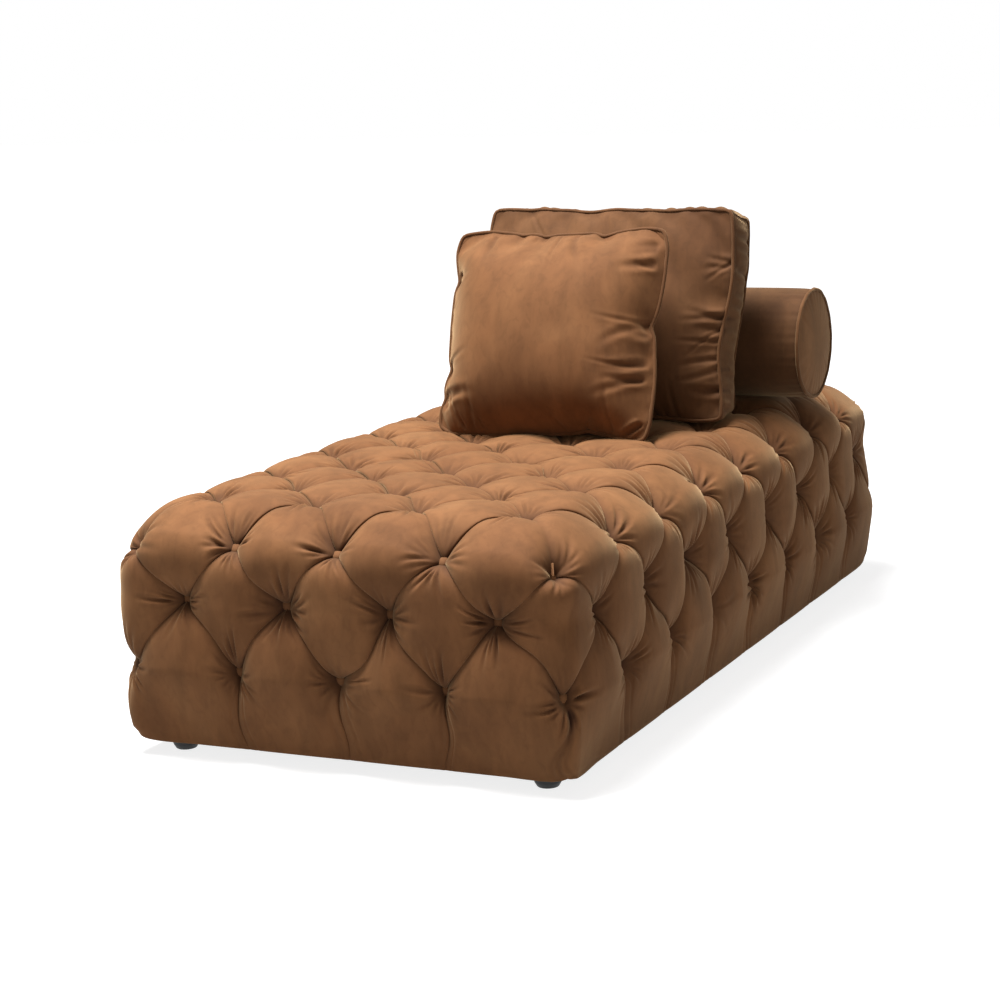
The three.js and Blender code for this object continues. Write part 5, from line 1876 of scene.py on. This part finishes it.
def make_foam():
    """The slab of foam on the deck, with soft edges round its top."""
    low, high = box_of("seat_foam")
    middle, half = (low + high) / 2, (high - low) / 2
    mesh = bmesh.new()
    bmesh.ops.create_cube(mesh, size=2)
    for vert in mesh.verts:
        vert.co = Vector(middle + np.array(vert.co) * (half - foam_inset))
    softened = [edge for edge in mesh.edges if max(vert.co.z for vert in edge.verts) > middle[2]]
    bmesh.ops.bevel(
        mesh, geom=softened, offset=foam_edge, segments=foam_edge_steps, profile=0.5, affect="EDGES",
    )
    points = [tuple(v.co) for v in mesh.verts]
    faces = [[v.index for v in f.verts] for f in mesh.faces]
    mesh.free()
    slab = add_mesh("seat_foam_slab", points, faces, "couch", foam)
    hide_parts("seat_foam")
    return slab


foam_slab = make_foam()
print("foam slab:", [round(c, 3) for c in foam_slab.dimensions])

# %% The dust cover
dust_step = 32 * mm
dust_sag = 5 * mm
dust_thickness = 0.8 * mm
foot_names = [f"foot_{end}_{side}" for end in ("front", "back") for side in ("left", "right")]
foot_hole = 26.5 * mm
fine_reach = 2.4 * foot_hole
across_hang, along_hang = 0.8, 0.3


def grid_lines(low, high, centres):
    """Lines of a grid between two ends, with finer ones round some centres."""
    near = [c + foot_hole * k / 2 for c in centres for k in range(-4, 5)]
    even = np.linspace(low, high, round((high - low) / dust_step) + 1)
    even = [line for line in even if min(abs(line - c) for c in centres) > fine_reach]
    lines = np.array(sorted(even + near))
    lines[0], lines[-1] = low, high
    return lines


def holed_grid(low, high, feet):
    """A grid whose lines bend into circles round the feet, and which of its quads are kept."""
    across = grid_lines(low[0], high[0], sorted(set(np.round(feet[:, 0], 5))))
    along = grid_lines(low[1], high[1], sorted(set(np.round(feet[:, 1], 5))))
    x, y = np.meshgrid(across, along)
    keep = np.ones((len(along) - 1, len(across) - 1), bool)
    for foot in feet:
        u, v = x - foot[0], y - foot[1]
        square, circle = np.maximum(np.abs(u), np.abs(v)), np.hypot(u, v)
        share = 1 - smooth_step(foot_hole, 2 * foot_hole, square)
        factor = 1 + share * (np.where(circle > 0, square / np.maximum(circle, 1e-9), 1) - 1)
        x, y = foot[0] + u * factor, foot[1] + v * factor
        middle_u = (u[:-1, :-1] + u[1:, 1:]) / 2
        middle_v = (v[:-1, :-1] + v[1:, 1:]) / 2
        keep &= np.maximum(np.abs(middle_u), np.abs(middle_v)) > foot_hole
    return x, y, keep


def hang_share(share, power):
    """How freely the felt hangs at a share of its width or its length."""
    return np.sin(math.pi * share.clip(0, 1)) ** power


def thick_faces(quads, count):
    """Faces of a sheet with two sides and closed rims. The under side's points follow those of the top."""
    faces = [tuple(q) for q in quads] + [tuple(q[::-1] + count) for q in quads]
    edges = dict.fromkeys((a, b) for quad in quads for a, b in zip(quad, np.roll(quad, -1)))
    faces += [(b, a, a + count, b + count) for a, b in edges if (b, a) not in edges]
    return faces


def make_dust_cover():
    """The felt under the frame, with a round hole for each foot."""
    low, high = box_of("dust_cover")
    feet = np.array([sum(box_of(name)) / 2 for name in foot_names])
    x, y, keep = holed_grid(low, high, feet)
    hang = hang_share((x - low[0]) / (high[0] - low[0]), across_hang)
    hang = hang * hang_share((y - low[1]) / (high[1] - low[1]), along_hang)
    z = low[2] + (high[2] - low[2]) / 2 - dust_sag * hang
    top = np.stack([x, y, z + dust_thickness / 2], axis=-1).reshape(-1, 3)
    under = np.stack([x, y, z - dust_thickness / 2], axis=-1).reshape(-1, 3)
    faces = thick_faces(grid_faces(*x.shape)[keep.ravel()], len(top))
    used = np.unique(np.concatenate([np.array(f) for f in faces]))
    renumber = {int(old): new for new, old in enumerate(used)}
    points = np.concatenate([top, under])[used]
    faces = [tuple(renumber[int(i)] for i in f) for f in faces]
    sheet = add_mesh("dust_cover_felt", points, faces, "couch", lining_cloth)
    fix_normals(sheet)
    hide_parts("dust_cover")
    return sheet


dust_cover = make_dust_cover()
print("dust cover:", [round(c, 3) for c in dust_cover.dimensions])

# %% The feet
foot_segments = 48
foot_softening = 0.6 * mm
# Radius and height of the foot's rings, in millimetres, from the floor up.
foot_profile = [
    (17.5, 0.0), (19.2, 0.5), (20.2, 1.6), (24.0, 8.2), (24.7, 9.6), (25.0, 11.2),
    (25.0, 27.2), (24.5, 28.2), (23.6, 28.5),
]


def turn_profile(profile, segments):
    """Points and faces of a profile turned round an upright axis, closed at both ends."""
    points = []
    for radius, height in profile:
        for i in range(segments):
            angle = 2 * math.pi * i / segments
            points.append((radius * math.cos(angle), radius * math.sin(angle), height))
    ends = [tuple(range(segments))[::-1], tuple(range(len(points) - segments, len(points)))]
    return np.array(points), ends + ring_faces(len(profile), segments)


for name in foot_names:
    low, high = box_of(name)
    middle = (low + high) / 2
    points, faces = turn_profile([(r * mm, h * mm) for r, h in foot_profile], foot_segments)
    points = points + np.array([middle[0], middle[1], low[2]])
    foot = add_mesh(f"{name}_turned", points, faces, "couch", foot_plastic)
    softened = foot.modifiers.new("softened", "BEVEL")
    softened.width = foot_softening
    softened.segments = 2
    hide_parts(name)
print("feet:", len(foot_names))

# %% Finishes on the pieces that keep their modelled shape
hard_finishes = [
    ("deck_slat_", timber_along_x), ("corner_post_", timber_upright), ("foot_screw_", screw_steel),
    ("lower_rail_left", timber_along_y), ("lower_rail_right", timber_along_y),
    ("upper_rail_left", timber_along_y), ("upper_rail_right", timber_along_y),
    ("lower_rail_", timber_along_x), ("upper_rail_", timber_along_x),
    ("deck_board", plywood), ("side_board_", plywood), ("end_board_", plywood),
]


def finish_for(node):
    """The finish of a node that stays as it is."""
    if node.endswith("_zip_tape"):
        return zip_tape
    if node.endswith("_zip_slider"):
        return zip_metal
    return next((finish for start, finish in hard_finishes if node.startswith(start)), None)


finished = 0
for node, piece in frame["nodes"].items():
    finish = finish_for(node)
    if finish is not None:
        for slot in piece.material_slots:
            slot.material = finish
        finished += 1
print("finished nodes:", finished)

# %% [markdown]
# ## The studio
#
# A plain pale floor, a strong soft light from above, and a weak warm one from the front right. The floor
# and the world glow white only for the rays that show the background, so that the light on the couch stays
# at a plain level. Near the couch the floor glows less, so that its shadow shows.

# %% The floor and the light
floor_size = 40.0
floor_shade, floor_roughness = 0.38, 0.9
floor_whiteness = 0.82
white_from, white_to = 1.6, 3.4
world_light = 0.16


def add_light(name, place, target, size, power, colour=(1, 1, 1)):
    """A square soft light that faces a point."""
    data = bpy.data.lights.new(name, "AREA")
    data.size = size
    data.energy = power
    data.color = colour
    light = bpy.data.objects.new(name, data)
    bpy.context.collection.objects.link(light)
    light.location = place
    light.rotation_euler = (Vector(target) - Vector(place)).to_track_quat("-Z", "Y").to_euler()
    return light


def seen_by_camera(tree):
    """1 for rays that show the background: straight ones, mirrored ones and those through clear pieces."""
    path = add_node(tree, "ShaderNodeLightPath")
    glossy = add_node(tree, "ShaderNodeMath", operation="MAXIMUM")
    tree.links.new(path.outputs["Is Camera Ray"], glossy.inputs[0])
    tree.links.new(path.outputs["Is Glossy Ray"], glossy.inputs[1])
    clear = add_node(tree, "ShaderNodeMath", operation="MAXIMUM")
    tree.links.new(glossy.outputs[0], clear.inputs[0])
    tree.links.new(path.outputs["Is Transmission Ray"], clear.inputs[1])
    return clear.outputs[0]


edge = floor_size / 2
corners = [(-edge, -edge, 0), (edge, -edge, 0), (edge, edge, 0), (-edge, edge, 0)]
floor = plain_object("floor", corners, [(0, 1, 2, 3)])

floor_material, tree, shader = new_material("studio_floor", roughness=floor_roughness)
shader.inputs["Base Color"].default_value = (floor_shade, floor_shade, floor_shade, 1)
shader.inputs["Specular IOR Level"].default_value = 0.0
shader.inputs["Emission Color"].default_value = (1, 1, 1, 1)
place = add_node(tree, "ShaderNodeTexCoord").outputs["Object"]
away = add_node(tree, "ShaderNodeVectorMath", {0: place}, operation="LENGTH").outputs["Value"]
white = add_node(tree, "ShaderNodeMapRange", {
    "Value": away, "From Min": white_from, "From Max": white_to, "To Min": floor_whiteness, "To Max": 1.0,
}).outputs["Result"]
glow = add_node(tree, "ShaderNodeMath", {0: seen_by_camera(tree), 1: white}, operation="MULTIPLY")
tree.links.new(glow.outputs[0], shader.inputs["Emission Strength"])
floor.data.materials.append(floor_material)

world = bpy.data.worlds.new("studio")
bpy.context.scene.world = world
world.use_nodes = True
tree = world.node_tree
background = tree.nodes["Background"]
background.inputs["Color"].default_value = (1, 1, 1, 1)
seen = seen_by_camera(tree)
extra = add_node(tree, "ShaderNodeMath", {0: seen, 1: 1 - world_light}, operation="MULTIPLY")
strength = add_node(tree, "ShaderNodeMath", {0: extra.outputs[0], 1: world_light}, operation="ADD")
tree.links.new(strength.outputs[0], background.inputs["Strength"])

add_light("overhead", (-0.9, -0.9, 5.2), (0, 0, 0.3), size=2.2, power=710)
add_light("side", (3.6, -3.6, 2.0), (0, 0, 0.4), size=2.0, power=20, colour=(1.0, 0.92, 0.84))
bpy.context.scene.view_settings.view_transform = "Standard"
print("floor", floor_size, "m")
